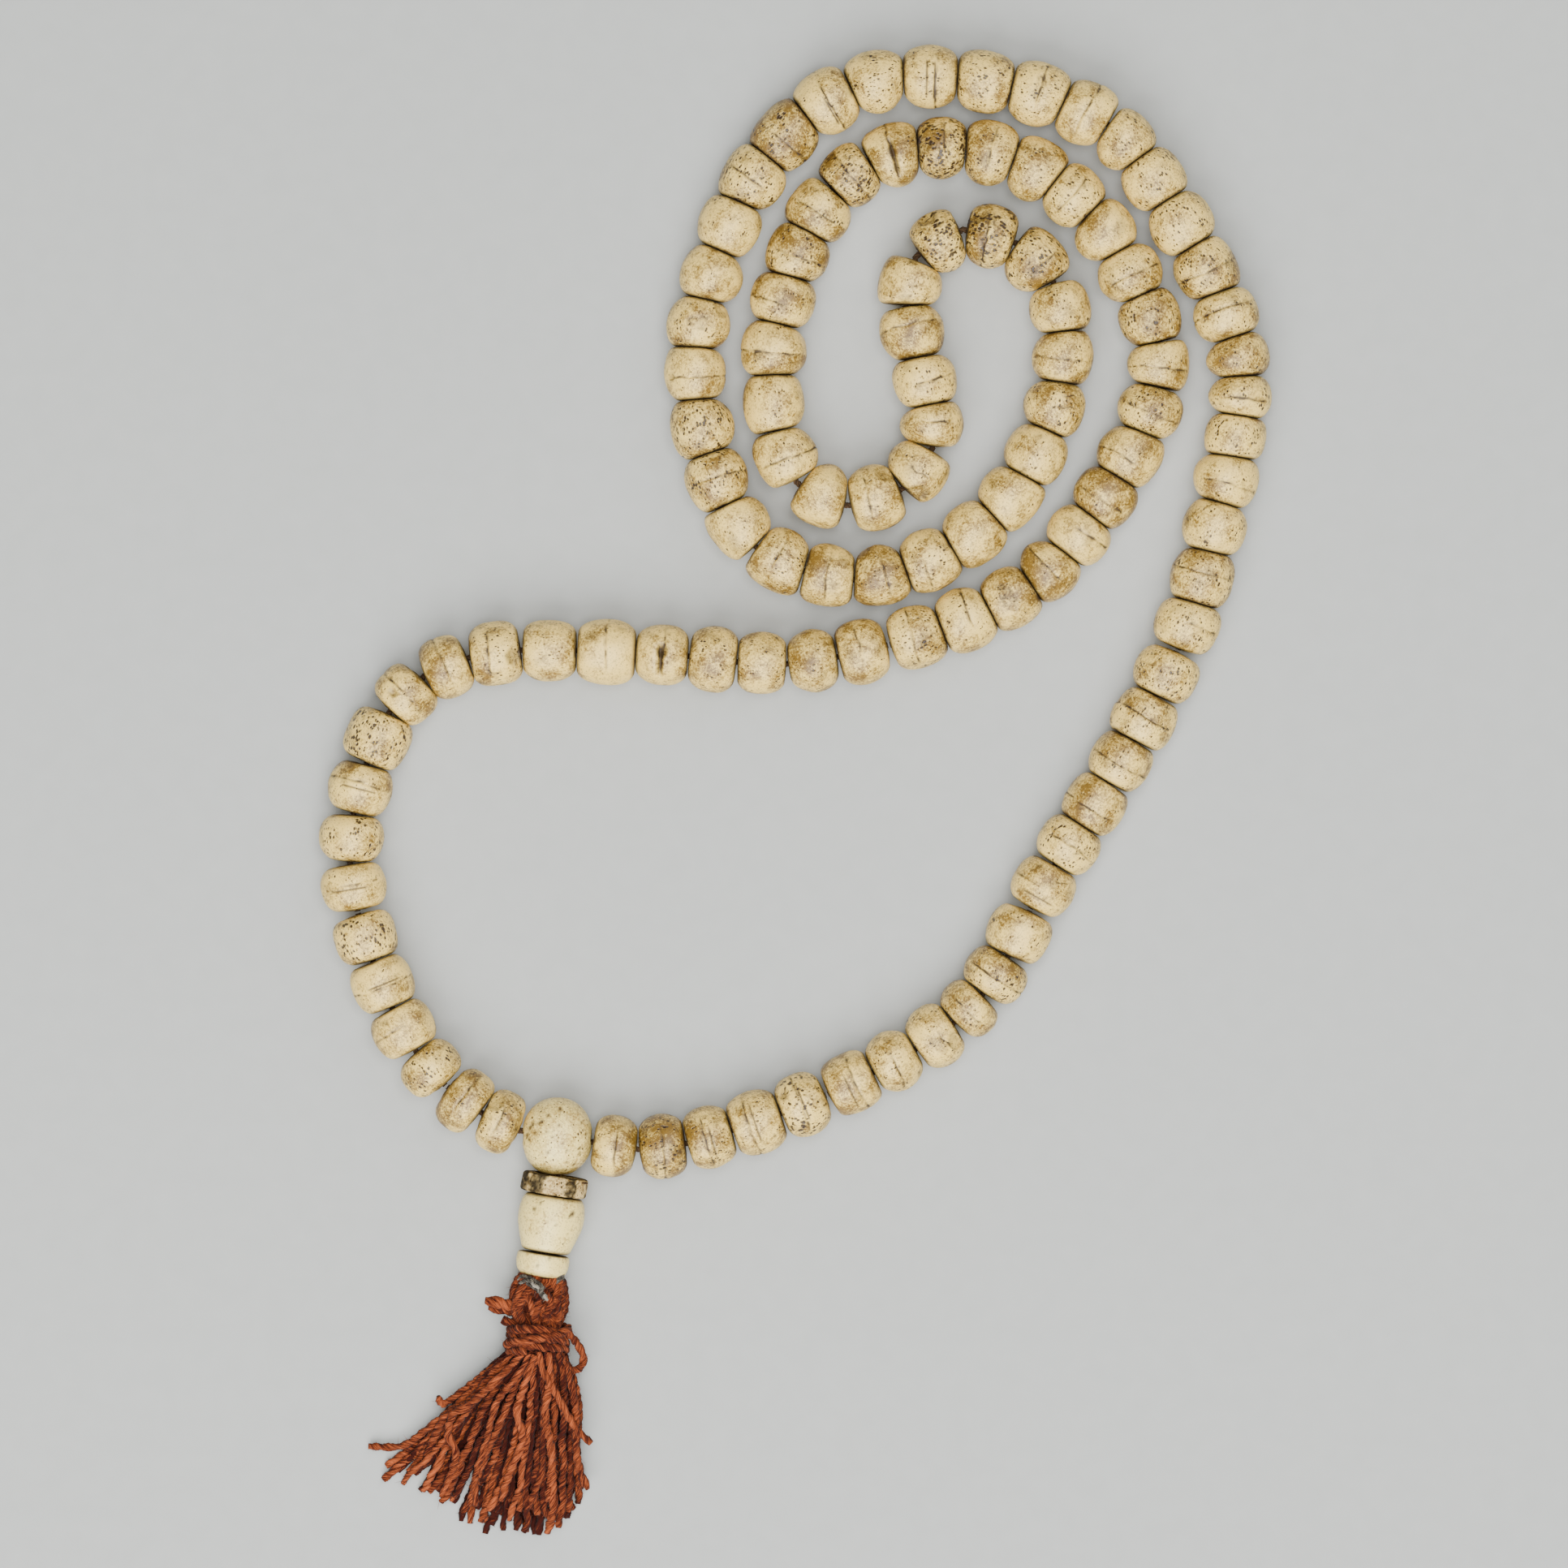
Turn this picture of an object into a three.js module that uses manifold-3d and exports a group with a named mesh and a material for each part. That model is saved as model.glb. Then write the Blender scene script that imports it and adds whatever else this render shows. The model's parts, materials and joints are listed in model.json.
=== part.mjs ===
// A mala of bone beads, laid flat on a table as a loose coil with one free loop.
// The loop closes in a guru bead, and under it hang a spacer disc, a barrel bead, an end bead
// and a yarn tassel. Millimetres, +Z up, the table at z = 0, the tassel towards -Y.
import * as THREE from "three";
import { mergeVertices } from "three/addons/utils/BufferGeometryUtils.js";
import Module from "manifold-3d";

const wasm = await Module();
wasm.setup();

// ---- Driving dimensions ----

const BEAD_COUNT = 108;
const BEAD_DIAMETER = 10;
const BEAD_FACE_DIAMETER = 7.2; // the flat end around a bead's hole
const BEAD_BELLY = 0.4; // the share of a bead's length that has its full diameter
const BEAD_BORE = 1.9;
const BEAD_GAP = 0.3; // between neighbouring beads whose axes line up
const BEAD_NECK_OVERLAP = 0.12; // how far joined beads of one run reach into each other

const CORD_DIAMETER = 1;
const CORD_END_GAP = 0.3; // between the cord's stretches, where the strand folds

const GURU_WIDTH = 10.6;
const GURU_THICKNESS = 10;
const GURU_LENGTH = 11.4;
const GURU_TILT = -2; // degrees about Z, of its own axis
const GURU_FOOT_DIAMETER = 4.5; // its flat ends
const GURU_SIDE_BORE = 2;
const GURU_LOWER_BORE = 3;

const PENDANT_TILT = -9; // degrees about Z, of the stack under the guru bead
const PENDANT_GAP = 0.3;
const PENDANT_SWING_GAP = 0.6; // under the guru bead, where the stack swings
const PENDANT_BORE = 2.6;
const PENDANT_CORD_DIAMETER = 1.5; // the strand's two ends, side by side
const PENDANT_CORD_RISE = 1.2; // how far they reach up into the guru bead
const DISC_DIAMETER = 10;
const DISC_THICKNESS = 2.4;
const DISC_EDGE = 0.5; // its rounded edge
const BARREL_DIAMETER = 10;
const BARREL_FOOT_DIAMETER = 7.4;
const BARREL_LENGTH = 8.5;
const END_BEAD_DIAMETER = 8;
const END_BEAD_LENGTH = 3.5;

const TASSEL_TILT = 7; // degrees about Z, against the stack above it
const KNOT_DIAMETER = 5.6;
const KNOT_LENGTH = 0.8;
const HEAD_DIAMETER = 9;
const HEAD_LENGTH = 6.4;
const BINDING_DIAMETER = 9.4;
const BINDING_LENGTH = 4;
const SKIRT_LENGTH = 25;
const SKIRT_LEAN = -8; // degrees about Z, against the head

// Free stretches: every bead turns by itself, and the strand folds up at three lines.
const FOLD_ANGLE = 15; // degrees, each line
const FOLD_GAPS = [5.5, 11.5, 17.5, 88.5, 102.5, 106.5];
const FREE_BEADS = [[1, 17], [89, 108]];
const COIL_RUN_STARTS = [18, 27, 36, 45, 54, 63, 72, 81];
const COIL_END = 88;
const CORD_STRETCHES = [
  ["coil_cord", 17.5, 88.5],
  ["upper_cord_right", 11.5, 17.5],
  ["upper_cord_left", 88.5, 102.5],
  ["middle_cord_right", 5.5, 11.5],
  ["middle_cord_left", 102.5, 106.5],
];

// The lay of the strand: bead number, x, y. Half numbers lie between two beads. The points were
// chosen for beads of LAY_BEAD_DIAMETER, and the whole lay grows and shrinks with the bead.
const LAY_BEAD_DIAMETER = 10;
const GURU_CENTRE = [-35.9, -51.85];
const GURU_SIDE_TILT = -9; // degrees about Z, of the strand through the guru bead
const LAY = [
  [2, -19.4, -53.5],
  [5, 1.2, -47],
  [8, 20.6, -37],
  [10, 30, -27.8],
  [12, 37.2, -13.8],
  [15, 48.8, 4.5],
  [18, 58.7, 24.7],
  [21, 64.5, 46.5],
  [23, 66.9, 59.4],
  [25, 64.6, 72],
  [28, 54, 91.8],
  [30, 43.4, 102.4],
  [33, 20.7, 107.7],
  [35, 4.6, 104],
  [37, -6.7, 92],
  [39, -12.7, 77.6],
  [41, -15.4, 62.4],
  [44, -9, 40],
  [46, 4.9, 32.2],
  [48, 20.1, 34.6],
  [50, 32.2, 44.2],
  [52, 38.9, 57.8],
  [54, 40.2, 72.3],
  [55, 36.2, 79.6],
  [56, 29.2, 84.4],
  [57, 21.2, 83.2],
  [58, 16.2, 76.2],
  [60, 19.2, 62],
  [61, 20.9, 55.2],
  [62, 19, 48.2],
  [63, 12, 43.6],
  [64, 3.6, 43.8],
  [65, -2.4, 50.8],
  [67, -3.4, 66.6],
  [69, 0.2, 80.8],
  [71, 7.9, 92.8],
  [73, 21.9, 97],
  [75, 36, 93.6],
  [77, 46.7, 83.8],
  [80, 54.8, 64.1],
  [83, 46.3, 44.2],
  [86, 32, 28.8],
  [90, 2.8, 19.6],
  [93, -20, 20.6],
  [96, -44.8, 21],
  [98, -58.8, 15],
  [100, -65.7, 0.3],
  [102, -66.6, -14.9],
  [105, -59.3, -35.4],
  [107, -50.3, -46.3],
];

// ---- Values that follow ----

const BEAD_SIDES = 8;
const CORD_SIDES = 8;
const ROUND_SIDES = 12;
const MERGE_DISTANCE = 1e-4;
const CORD_HEIGHT = Math.max(BEAD_DIAMETER, GURU_THICKNESS, DISC_DIAMETER, BARREL_DIAMETER) / 2;
const layScale = BEAD_DIAMETER / LAY_BEAD_DIAMETER;
const degrees = THREE.MathUtils.degToRad;

// ---- Materials ----

function finish(color, roughness) {
  return new THREE.MeshStandardMaterial({ color, roughness, metalness: 0 });
}

const bone = finish("#cdbd92", 0.5);
const paleBone = finish("#ddd3b2", 0.45);
const stainedBone = finish("#a79a78", 0.55);
const cordFibre = finish("#4a4038", 0.85);
const knotThread = finish("#7a7872", 0.85);
const rustYarn = finish("#8e4526", 0.95);

// ---- Solids ----

function solidOf(geometry, matrix = new THREE.Matrix4()) {
  const bare = new THREE.BufferGeometry();
  bare.setAttribute("position", geometry.getAttribute("position").clone());
  bare.setIndex(geometry.index);
  bare.applyMatrix4(matrix);
  const merged = mergeVertices(bare, MERGE_DISTANCE);
  const vertProperties = merged.attributes.position.array;
  const triVerts = new Uint32Array(merged.index.array);
  return new wasm.Manifold(new wasm.Mesh({ numProp: 3, vertProperties, triVerts }));
}

function geometryOf(solid) {
  const mesh = solid.getMesh();
  const geometry = new THREE.BufferGeometry();
  geometry.setAttribute("position", new THREE.BufferAttribute(mesh.vertProperties, 3));
  geometry.setIndex(new THREE.BufferAttribute(mesh.triVerts, 1));
  geometry.computeVertexNormals();
  return geometry;
}

// A turned shape about +Y with a flat facet on each side that looks along X or Z. The outline's
// radii are those of the facets, so its corners stand a little further out.
function turned(outline, sides) {
  const corner = 1 / Math.cos(Math.PI / sides);
  const points = outline.map(([radius, y]) => new THREE.Vector2(radius * corner, y));
  return new THREE.LatheGeometry(points, sides, Math.PI / sides);
}

// A turned shape whose hole runs right through it.
function turnedWithBore(outline, boreRadius, sides) {
  const [first, last] = [outline[0], outline.at(-1)];
  const bored = [[boreRadius, first[1]], ...outline, [boreRadius, last[1]], [boreRadius, first[1]]];
  return turned(bored, sides);
}

function named(name, geometry, material) {
  const mesh = new THREE.Mesh(geometry, material);
  mesh.name = name;
  return mesh;
}

// ---- The strand ----

const guruCentre = new THREE.Vector3(GURU_CENTRE[0] * layScale, GURU_CENTRE[1] * layScale, CORD_HEIGHT);
const sideTilt = degrees(GURU_SIDE_TILT);
const guruAcross = new THREE.Vector3(Math.cos(sideTilt), Math.sin(sideTilt), 0);

// The point where the strand meets the guru bead: direction is 1 on its right side and -1 on its left.
function guruSide(direction) {
  return guruCentre.clone().addScaledVector(guruAcross, (direction * (GURU_WIDTH + BEAD_GAP)) / 2);
}

const layNumbers = [0.5, ...LAY.map(([number]) => number), BEAD_COUNT + 0.5];
const layPoints = [
  guruSide(1),
  ...LAY.map(([, x, y]) => new THREE.Vector3(x * layScale, y * layScale, CORD_HEIGHT)),
  guruSide(-1),
];
const layCurve = new THREE.CatmullRomCurve3(layPoints, false, "catmullrom", 0.5);

// The point of the strand at a bead number, spaced evenly between the points of the lay.
function strandPoint(number) {
  const after = layNumbers.findIndex((n) => n >= number);
  const i = Math.max(after, 1) - 1;
  const share = (number - layNumbers[i]) / (layNumbers[i + 1] - layNumbers[i]);
  return layCurve.getPoint((i + share) / (layPoints.length - 1));
}

function beadAxis(number) {
  return strandPoint(number + 0.5).sub(strandPoint(number - 0.5)).normalize();
}

// The angle that a bead's face makes with the middle plane of the joint beside it. At the guru
// bead, whose side stays where it is, the bead's face takes the whole bend.
function faceAngle(joint) {
  if (joint < 1) return beadAxis(1).angleTo(guruAcross);
  if (joint > BEAD_COUNT) return beadAxis(BEAD_COUNT).angleTo(guruAcross);
  const fold = FOLD_GAPS.includes(joint) ? degrees(FOLD_ANGLE) : 0;
  const bend = beadAxis(joint - 0.5).angleTo(beadAxis(joint + 0.5));
  return (bend + fold) / 2;
}

// Half the room that two beads' faces need at the joint between them, so that they stay clear
// of each other where the strand bends and where it folds.
function halfGap(joint) {
  const faceCorner = BEAD_FACE_DIAMETER / 2 / Math.cos(Math.PI / BEAD_SIDES);
  return BEAD_GAP / 2 + faceCorner * Math.tan(faceAngle(joint));
}

function beadOutline(length) {
  const face = BEAD_FACE_DIAMETER / 2;
  const belly = BEAD_DIAMETER / 2;
  return [
    [face, -length / 2],
    [belly, (-length * BEAD_BELLY) / 2],
    [belly, (length * BEAD_BELLY) / 2],
    [face, length / 2],
  ];
}

// Puts a piece turned about +Y on the strand, from one end to the other.
function layAlong(object, start, end) {
  object.position.copy(start).add(end).multiplyScalar(0.5);
  object.rotation.z = Math.atan2(end.y - start.y, end.x - start.x) - Math.PI / 2;
  object.updateMatrix();
  return object;
}

function freeBead(number) {
  const axis = beadAxis(number);
  const start = strandPoint(number - 0.5).addScaledVector(axis, halfGap(number - 0.5));
  const end = strandPoint(number + 0.5).addScaledVector(axis, -halfGap(number + 0.5));
  const geometry = turnedWithBore(beadOutline(start.distanceTo(end)), BEAD_BORE / 2, BEAD_SIDES);
  return layAlong(named(`bead_${String(number).padStart(3, "0")}`, geometry, bone), start, end);
}

// A run of beads of the coil, pressed face to face and joined into one solid around the cord.
function coilRun(first, last) {
  let run = null;
  for (let number = first; number <= last; number++) {
    const axis = beadAxis(number);
    const start = strandPoint(number - 0.5);
    const end = strandPoint(number + 0.5);
    start.addScaledVector(axis, number === first ? halfGap(first - 0.5) : -BEAD_NECK_OVERLAP);
    end.addScaledVector(axis, number === last ? -halfGap(last + 0.5) : BEAD_NECK_OVERLAP);
    const length = start.distanceTo(end);
    const outline = [[0, -length / 2], ...beadOutline(length), [0, length / 2]];
    const place = layAlong(new THREE.Object3D(), start, end).matrix;
    const bead = solidOf(turned(outline, BEAD_SIDES), place);
    run = run ? run.add(bead) : bead;
  }
  const bore = cordSolid(first - 0.5, last + 0.5, BEAD_BORE, BEAD_GAP);
  const name = `coil_beads_${String(first).padStart(3, "0")}_${String(last).padStart(3, "0")}`;
  return named(name, geometryOf(run.subtract(bore)), bone);
}

// ---- Cords ----

// A straight-sided tube through the points, with a flat facet below.
function tube(points, diameter) {
  const corner = diameter / 2 / Math.cos(Math.PI / CORD_SIDES);
  const section = new THREE.Shape();
  for (let i = 0; i < CORD_SIDES; i++) {
    const angle = ((i + 0.5) * 2 * Math.PI) / CORD_SIDES;
    const [x, y] = [corner * Math.cos(angle), corner * Math.sin(angle)];
    if (i === 0) section.moveTo(x, y);
    else section.lineTo(x, y);
  }
  section.closePath();
  return sweep(section, points);
}

// Sweeps a section along level points, mitred at each bend.
function sweep(section, points) {
  const last = points.length - 1;
  const rings = new THREE.ExtrudeGeometry(section, { depth: 1, steps: last, bevelEnabled: false });
  const position = rings.getAttribute("position");
  for (let i = 0; i < position.count; i++) {
    const at = Math.round(position.getZ(i) * last);
    const into = points[at].clone().sub(points[Math.max(at - 1, 0)]).normalize();
    const out = points[Math.min(at + 1, last)].clone().sub(points[at]).normalize();
    const along = into.clone().add(out).normalize();
    const mitre = at > 0 && at < last ? 1 / Math.cos(into.angleTo(out) / 2) : 1;
    const side = new THREE.Vector3(-along.y, along.x, 0).multiplyScalar(position.getX(i) * mitre);
    const place = points[at].clone().add(side);
    position.setXYZ(i, place.x, place.y, place.z + position.getY(i));
  }
  rings.deleteAttribute("normal");
  rings.deleteAttribute("uv");
  return mergeVertices(rings, MERGE_DISTANCE);
}

// The joints between beads that a stretch of cord passes, with its ends moved out or in.
function cordPoints(from, to, reach) {
  const points = [];
  for (let joint = from; joint <= to; joint++) points.push(strandPoint(joint));
  points[0].addScaledVector(beadAxis(from + 0.5), -reach);
  points.at(-1).addScaledVector(beadAxis(to - 0.5), reach);
  return points;
}

function cordSolid(from, to, diameter, reach) {
  return solidOf(tube(cordPoints(from, to, reach), diameter));
}

function cordStretch(name, from, to) {
  return named(name, tube(cordPoints(from, to, -CORD_END_GAP / 2), CORD_DIAMETER), cordFibre);
}

// The lowest stretch runs from the left fold through the guru bead to the right fold.
function lowerCord() {
  const left = cordPoints(FOLD_GAPS.at(-1), BEAD_COUNT + 0.5, -CORD_END_GAP / 2).slice(0, -1);
  const right = cordPoints(0.5, FOLD_GAPS[0], -CORD_END_GAP / 2).slice(1);
  const points = [...left, guruSide(-1), guruSide(1), ...right];
  return named("lower_cord", tube(points, CORD_DIAMETER), cordFibre);
}

// ---- Guru bead ----

const GURU_BORE_REACH = 1.2; // how far the side bore runs, as a share of the bead's width

function guruPlace() {
  const place = new THREE.Object3D();
  place.position.copy(guruCentre);
  place.rotation.z = degrees(GURU_TILT);
  place.scale.x = GURU_WIDTH / GURU_THICKNESS;
  place.updateMatrix();
  return place;
}

function guruBead() {
  const radius = GURU_THICKNESS / 2;
  const half = GURU_LENGTH / 2;
  const upper = [
    [radius, 0.25 * half],
    [0.86 * radius, 0.68 * half],
    [GURU_FOOT_DIAMETER / 2, half],
    [0, half],
  ];
  const outline = [...upper.map(([out, along]) => [out, -along]).reverse(), ...upper];
  const sideEnds = [guruSide(-GURU_BORE_REACH), guruSide(GURU_BORE_REACH)];
  const sideBore = solidOf(tube(sideEnds, GURU_SIDE_BORE));
  const boreRadius = GURU_LOWER_BORE / 2;
  const lower = new THREE.CylinderGeometry(boreRadius, boreRadius, GURU_LENGTH, ROUND_SIDES);
  lower.translate(0, -half, 0);
  const place = guruPlace().matrix;
  const body = solidOf(turned(outline, ROUND_SIDES), place);
  const bored = body.subtract(sideBore).subtract(solidOf(lower, place));
  return named("guru_bead", geometryOf(bored), paleBone);
}

// ---- The stack under the guru bead: every piece is threaded on -Y from the guru's lower hole ----

const discTop = -PENDANT_SWING_GAP;
const barrelTop = discTop - DISC_THICKNESS - PENDANT_GAP;
const endBeadTop = barrelTop - BARREL_LENGTH - PENDANT_GAP;
const tasselPivot = endBeadTop - END_BEAD_LENGTH - PENDANT_GAP;

function threaded(name, outline, material) {
  return named(name, turnedWithBore(outline, PENDANT_BORE / 2, ROUND_SIDES), material);
}

function spacerDisc() {
  const radius = DISC_DIAMETER / 2;
  const bottom = discTop - DISC_THICKNESS;
  const outline = [
    [radius - DISC_EDGE, bottom],
    [radius, bottom + DISC_EDGE],
    [radius, discTop - DISC_EDGE],
    [radius - DISC_EDGE, discTop],
  ];
  return threaded("spacer_disc", outline, stainedBone);
}

function barrelBead() {
  const radius = BARREL_DIAMETER / 2;
  const foot = BARREL_FOOT_DIAMETER / 2;
  const bottom = barrelTop - BARREL_LENGTH;
  const outline = [
    [0.86 * foot, bottom],
    [foot, bottom + 0.1 * BARREL_LENGTH],
    [0.9 * radius, bottom + 0.4 * BARREL_LENGTH],
    [radius, bottom + 0.7 * BARREL_LENGTH],
    [0.84 * radius, barrelTop],
  ];
  return threaded("barrel_bead", outline, paleBone);
}

function endBead() {
  const radius = END_BEAD_DIAMETER / 2;
  const bottom = endBeadTop - END_BEAD_LENGTH;
  const outline = [
    [0.62 * radius, bottom],
    [0.93 * radius, bottom + 0.35 * END_BEAD_LENGTH],
    [radius, bottom + 0.7 * END_BEAD_LENGTH],
    [0.9 * radius, endBeadTop],
  ];
  return threaded("end_bead", outline, paleBone);
}

function pendantCord() {
  const bottom = tasselPivot + PENDANT_GAP;
  const length = PENDANT_CORD_RISE - bottom;
  const radius = PENDANT_CORD_DIAMETER / 2;
  const cord = new THREE.CylinderGeometry(radius, radius, length, CORD_SIDES);
  cord.translate(0, bottom + length / 2, 0);
  return named("pendant_cord", cord, cordFibre);
}

// ---- Tassel: its parts hang on -Y from the cord's knot ----

const knotTop = -PENDANT_GAP;
const headTop = knotTop - KNOT_LENGTH - PENDANT_GAP;
const bindingTop = headTop - HEAD_LENGTH - PENDANT_GAP;
const skirtRise = (BINDING_DIAMETER / 2) * Math.sin(degrees(Math.abs(SKIRT_LEAN)));
const skirtTop = bindingTop - BINDING_LENGTH - PENDANT_GAP - skirtRise;

// A plain turned solid from rows of shares: of its radius, and of its length from the top down.
function bundle(name, radius, top, length, shares, material) {
  const outline = shares.map(([share, down]) => [share * radius, top - down * length]).reverse();
  return named(name, turned(outline, ROUND_SIDES), material);
}

function layDown(mesh, radius) {
  mesh.position.z = radius - CORD_HEIGHT;
  return mesh;
}

function cordKnot() {
  const shares = [[0, 0], [0.7, 0], [1, 0.5], [0.7, 1], [0, 1]];
  return bundle("cord_knot", KNOT_DIAMETER / 2, knotTop, KNOT_LENGTH, shares, knotThread);
}

function tasselHead() {
  const shares = [[0, 0], [0.55, 0], [0.9, 0.22], [1, 0.55], [0.95, 1], [0, 1]];
  const radius = HEAD_DIAMETER / 2;
  return layDown(bundle("tassel_head", radius, headTop, HEAD_LENGTH, shares, rustYarn), radius);
}

function tasselBinding() {
  const shares = [[0, 0], [0.9, 0], [1, 0.25], [1, 0.8], [0.93, 1], [0, 1]];
  const radius = BINDING_DIAMETER / 2;
  const binding = bundle("tassel_binding", radius, bindingTop, BINDING_LENGTH, shares, rustYarn);
  return layDown(binding, radius);
}

// The skirt's yarns fan out sideways and thin out downwards: a round bundle at the binding, and
// a wide, flatter one at the cut ends. Each row is a share of the length, then the half width and
// the half thickness as shares of the binding's radius.
function tasselSkirt() {
  const rows = [
    [0, 0.92, 0.9],
    [0.14, 1.3, 0.92],
    [0.38, 1.95, 0.86],
    [0.66, 2.55, 0.72],
    [0.9, 2.6, 0.6],
    [1, 2.2, 0.5],
  ];
  const radius = BINDING_DIAMETER / 2;
  const sides = rows.map(([down]) => [1, -down * SKIRT_LENGTH]);
  const geometry = turned([[0, 0], ...sides, [0, -SKIRT_LENGTH]].reverse(), ROUND_SIDES);
  const position = geometry.getAttribute("position");
  for (let i = 0; i < position.count; i++) {
    const down = -position.getY(i) / SKIRT_LENGTH;
    const [, width, thickness] = rows.findLast(([share]) => share < down + MERGE_DISTANCE);
    const lift = thickness * radius - CORD_HEIGHT;
    position.setX(i, position.getX(i) * width * radius);
    position.setZ(i, position.getZ(i) * thickness * radius + lift);
  }
  geometry.computeVertexNormals();
  const skirt = named("tassel_skirt", geometry, rustYarn);
  skirt.position.y = skirtTop;
  skirt.rotation.z = degrees(SKIRT_LEAN);
  return skirt;
}

// ---- Assembly ----

const strand = new THREE.Group();
COIL_RUN_STARTS.forEach((first, i) => {
  strand.add(coilRun(first, (COIL_RUN_STARTS[i + 1] ?? COIL_END + 1) - 1));
});
for (const [first, last] of FREE_BEADS) {
  for (let number = first; number <= last; number++) strand.add(freeBead(number));
}
for (const [name, from, to] of CORD_STRETCHES) strand.add(cordStretch(name, from, to));
strand.add(lowerCord(), guruBead());

const tassel = new THREE.Group();
tassel.add(cordKnot(), tasselHead(), tasselBinding(), tasselSkirt());
tassel.position.y = tasselPivot;
tassel.rotation.z = degrees(TASSEL_TILT);

const pendant = new THREE.Group();
pendant.add(spacerDisc(), barrelBead(), endBead(), pendantCord(), tassel);
const lowerHole = new THREE.Vector3(0, -GURU_LENGTH / 2, 0).applyMatrix4(guruPlace().matrix);
pendant.position.copy(lowerHole);
pendant.rotation.z = degrees(PENDANT_TILT);

const mala = new THREE.Group();
mala.add(strand, pendant);

export default mala;
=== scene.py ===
import json
import math
import random

import bpy
import numpy as np
from mathutils import Matrix, Vector


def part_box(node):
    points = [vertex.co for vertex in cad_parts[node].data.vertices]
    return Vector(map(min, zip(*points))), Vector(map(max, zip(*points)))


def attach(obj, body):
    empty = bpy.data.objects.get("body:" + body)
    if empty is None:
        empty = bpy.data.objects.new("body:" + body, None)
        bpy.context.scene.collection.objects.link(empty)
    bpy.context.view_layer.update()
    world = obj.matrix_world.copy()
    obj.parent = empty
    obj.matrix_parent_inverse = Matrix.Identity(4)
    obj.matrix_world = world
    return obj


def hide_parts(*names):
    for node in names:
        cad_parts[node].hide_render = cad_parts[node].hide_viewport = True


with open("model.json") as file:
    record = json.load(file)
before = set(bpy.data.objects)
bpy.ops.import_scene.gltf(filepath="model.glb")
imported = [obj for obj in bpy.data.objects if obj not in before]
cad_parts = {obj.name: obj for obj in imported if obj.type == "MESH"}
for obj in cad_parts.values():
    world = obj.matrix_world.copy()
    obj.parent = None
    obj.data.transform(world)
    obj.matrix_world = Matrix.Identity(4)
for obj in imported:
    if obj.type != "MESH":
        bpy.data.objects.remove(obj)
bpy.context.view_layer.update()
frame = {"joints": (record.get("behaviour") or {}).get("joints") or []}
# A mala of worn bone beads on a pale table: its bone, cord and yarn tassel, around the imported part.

MM = 0.001

# ---- The strand's lay: bead number, x, y in millimetres, as the part's own source has them ----

BEAD_COUNT = 108
GURU_WIDTH = 10.6
GURU_CENTRE = (-35.9, -51.85)
GURU_SIDE_TILT = math.radians(-9)
CAD_BEAD_GAP = 0.3
LAY = [
    (2, -19.4, -53.5), (5, 1.2, -47), (8, 20.6, -37), (10, 30, -27.8), (12, 37.2, -13.8),
    (15, 48.8, 4.5), (18, 58.7, 24.7), (21, 64.5, 46.5), (23, 66.9, 59.4), (25, 64.6, 72),
    (28, 54, 91.8), (30, 43.4, 102.4), (33, 20.7, 107.7), (35, 4.6, 104), (37, -6.7, 92),
    (39, -12.7, 77.6), (41, -15.4, 62.4), (44, -9, 40), (46, 4.9, 32.2), (48, 20.1, 34.6),
    (50, 32.2, 44.2), (52, 38.9, 57.8), (54, 40.2, 72.3), (55, 36.2, 79.6), (56, 29.2, 84.4),
    (57, 21.2, 83.2), (58, 16.2, 76.2), (60, 19.2, 62), (61, 20.9, 55.2), (62, 19, 48.2),
    (63, 12, 43.6), (64, 3.6, 43.8), (65, -2.4, 50.8), (67, -3.4, 66.6), (69, 0.2, 80.8),
    (71, 7.9, 92.8), (73, 21.9, 97), (75, 36, 93.6), (77, 46.7, 83.8), (80, 54.8, 64.1),
    (83, 46.3, 44.2), (86, 32, 28.8), (90, 2.8, 19.6), (93, -20, 20.6), (96, -44.8, 21),
    (98, -58.8, 15), (100, -65.7, 0.3), (102, -66.6, -14.9), (105, -59.3, -35.4), (107, -50.3, -46.3),
]

BEAD_RADIUS = 4.92
FACE_RADIUS = 3.6
BORE_RADIUS = 0.92
CORD_RADIUS = 0.5
CORD_HEIGHT = 5.0
# The loop folds by this angle at these joints. Joint 5.5 is the one between beads 5 and 6.
FOLD_ANGLE = math.radians(15)
FOLD_GAPS = (5.5, 11.5, 17.5, 88.5, 102.5, 106.5)
# The gap between two beads' faces. In the coil their faces have worn each other down where the strand
# bends, up to this slant and this slope, and a little out of square everywhere.
FACE_GAP = 0.06
WORN_SLANT = math.radians(8)
WORN_SLOPE = math.radians(9)
WORN_TILT = math.tan(math.radians(4))
STEEP = math.tan(math.radians(10))


def guru_side(direction):
    """Where the cord leaves the guru bead, to its right (1) or its left (-1)."""
    reach = direction * (GURU_WIDTH + CAD_BEAD_GAP) / 2
    x, y = GURU_CENTRE
    return (x + reach * math.cos(GURU_SIDE_TILT), y + reach * math.sin(GURU_SIDE_TILT))


LAY_NUMBERS = [0.5] + [number for number, _, _ in LAY] + [BEAD_COUNT + 0.5]
LAY_POINTS = [guru_side(1)] + [(x, y) for _, x, y in LAY] + [guru_side(-1)]


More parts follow.
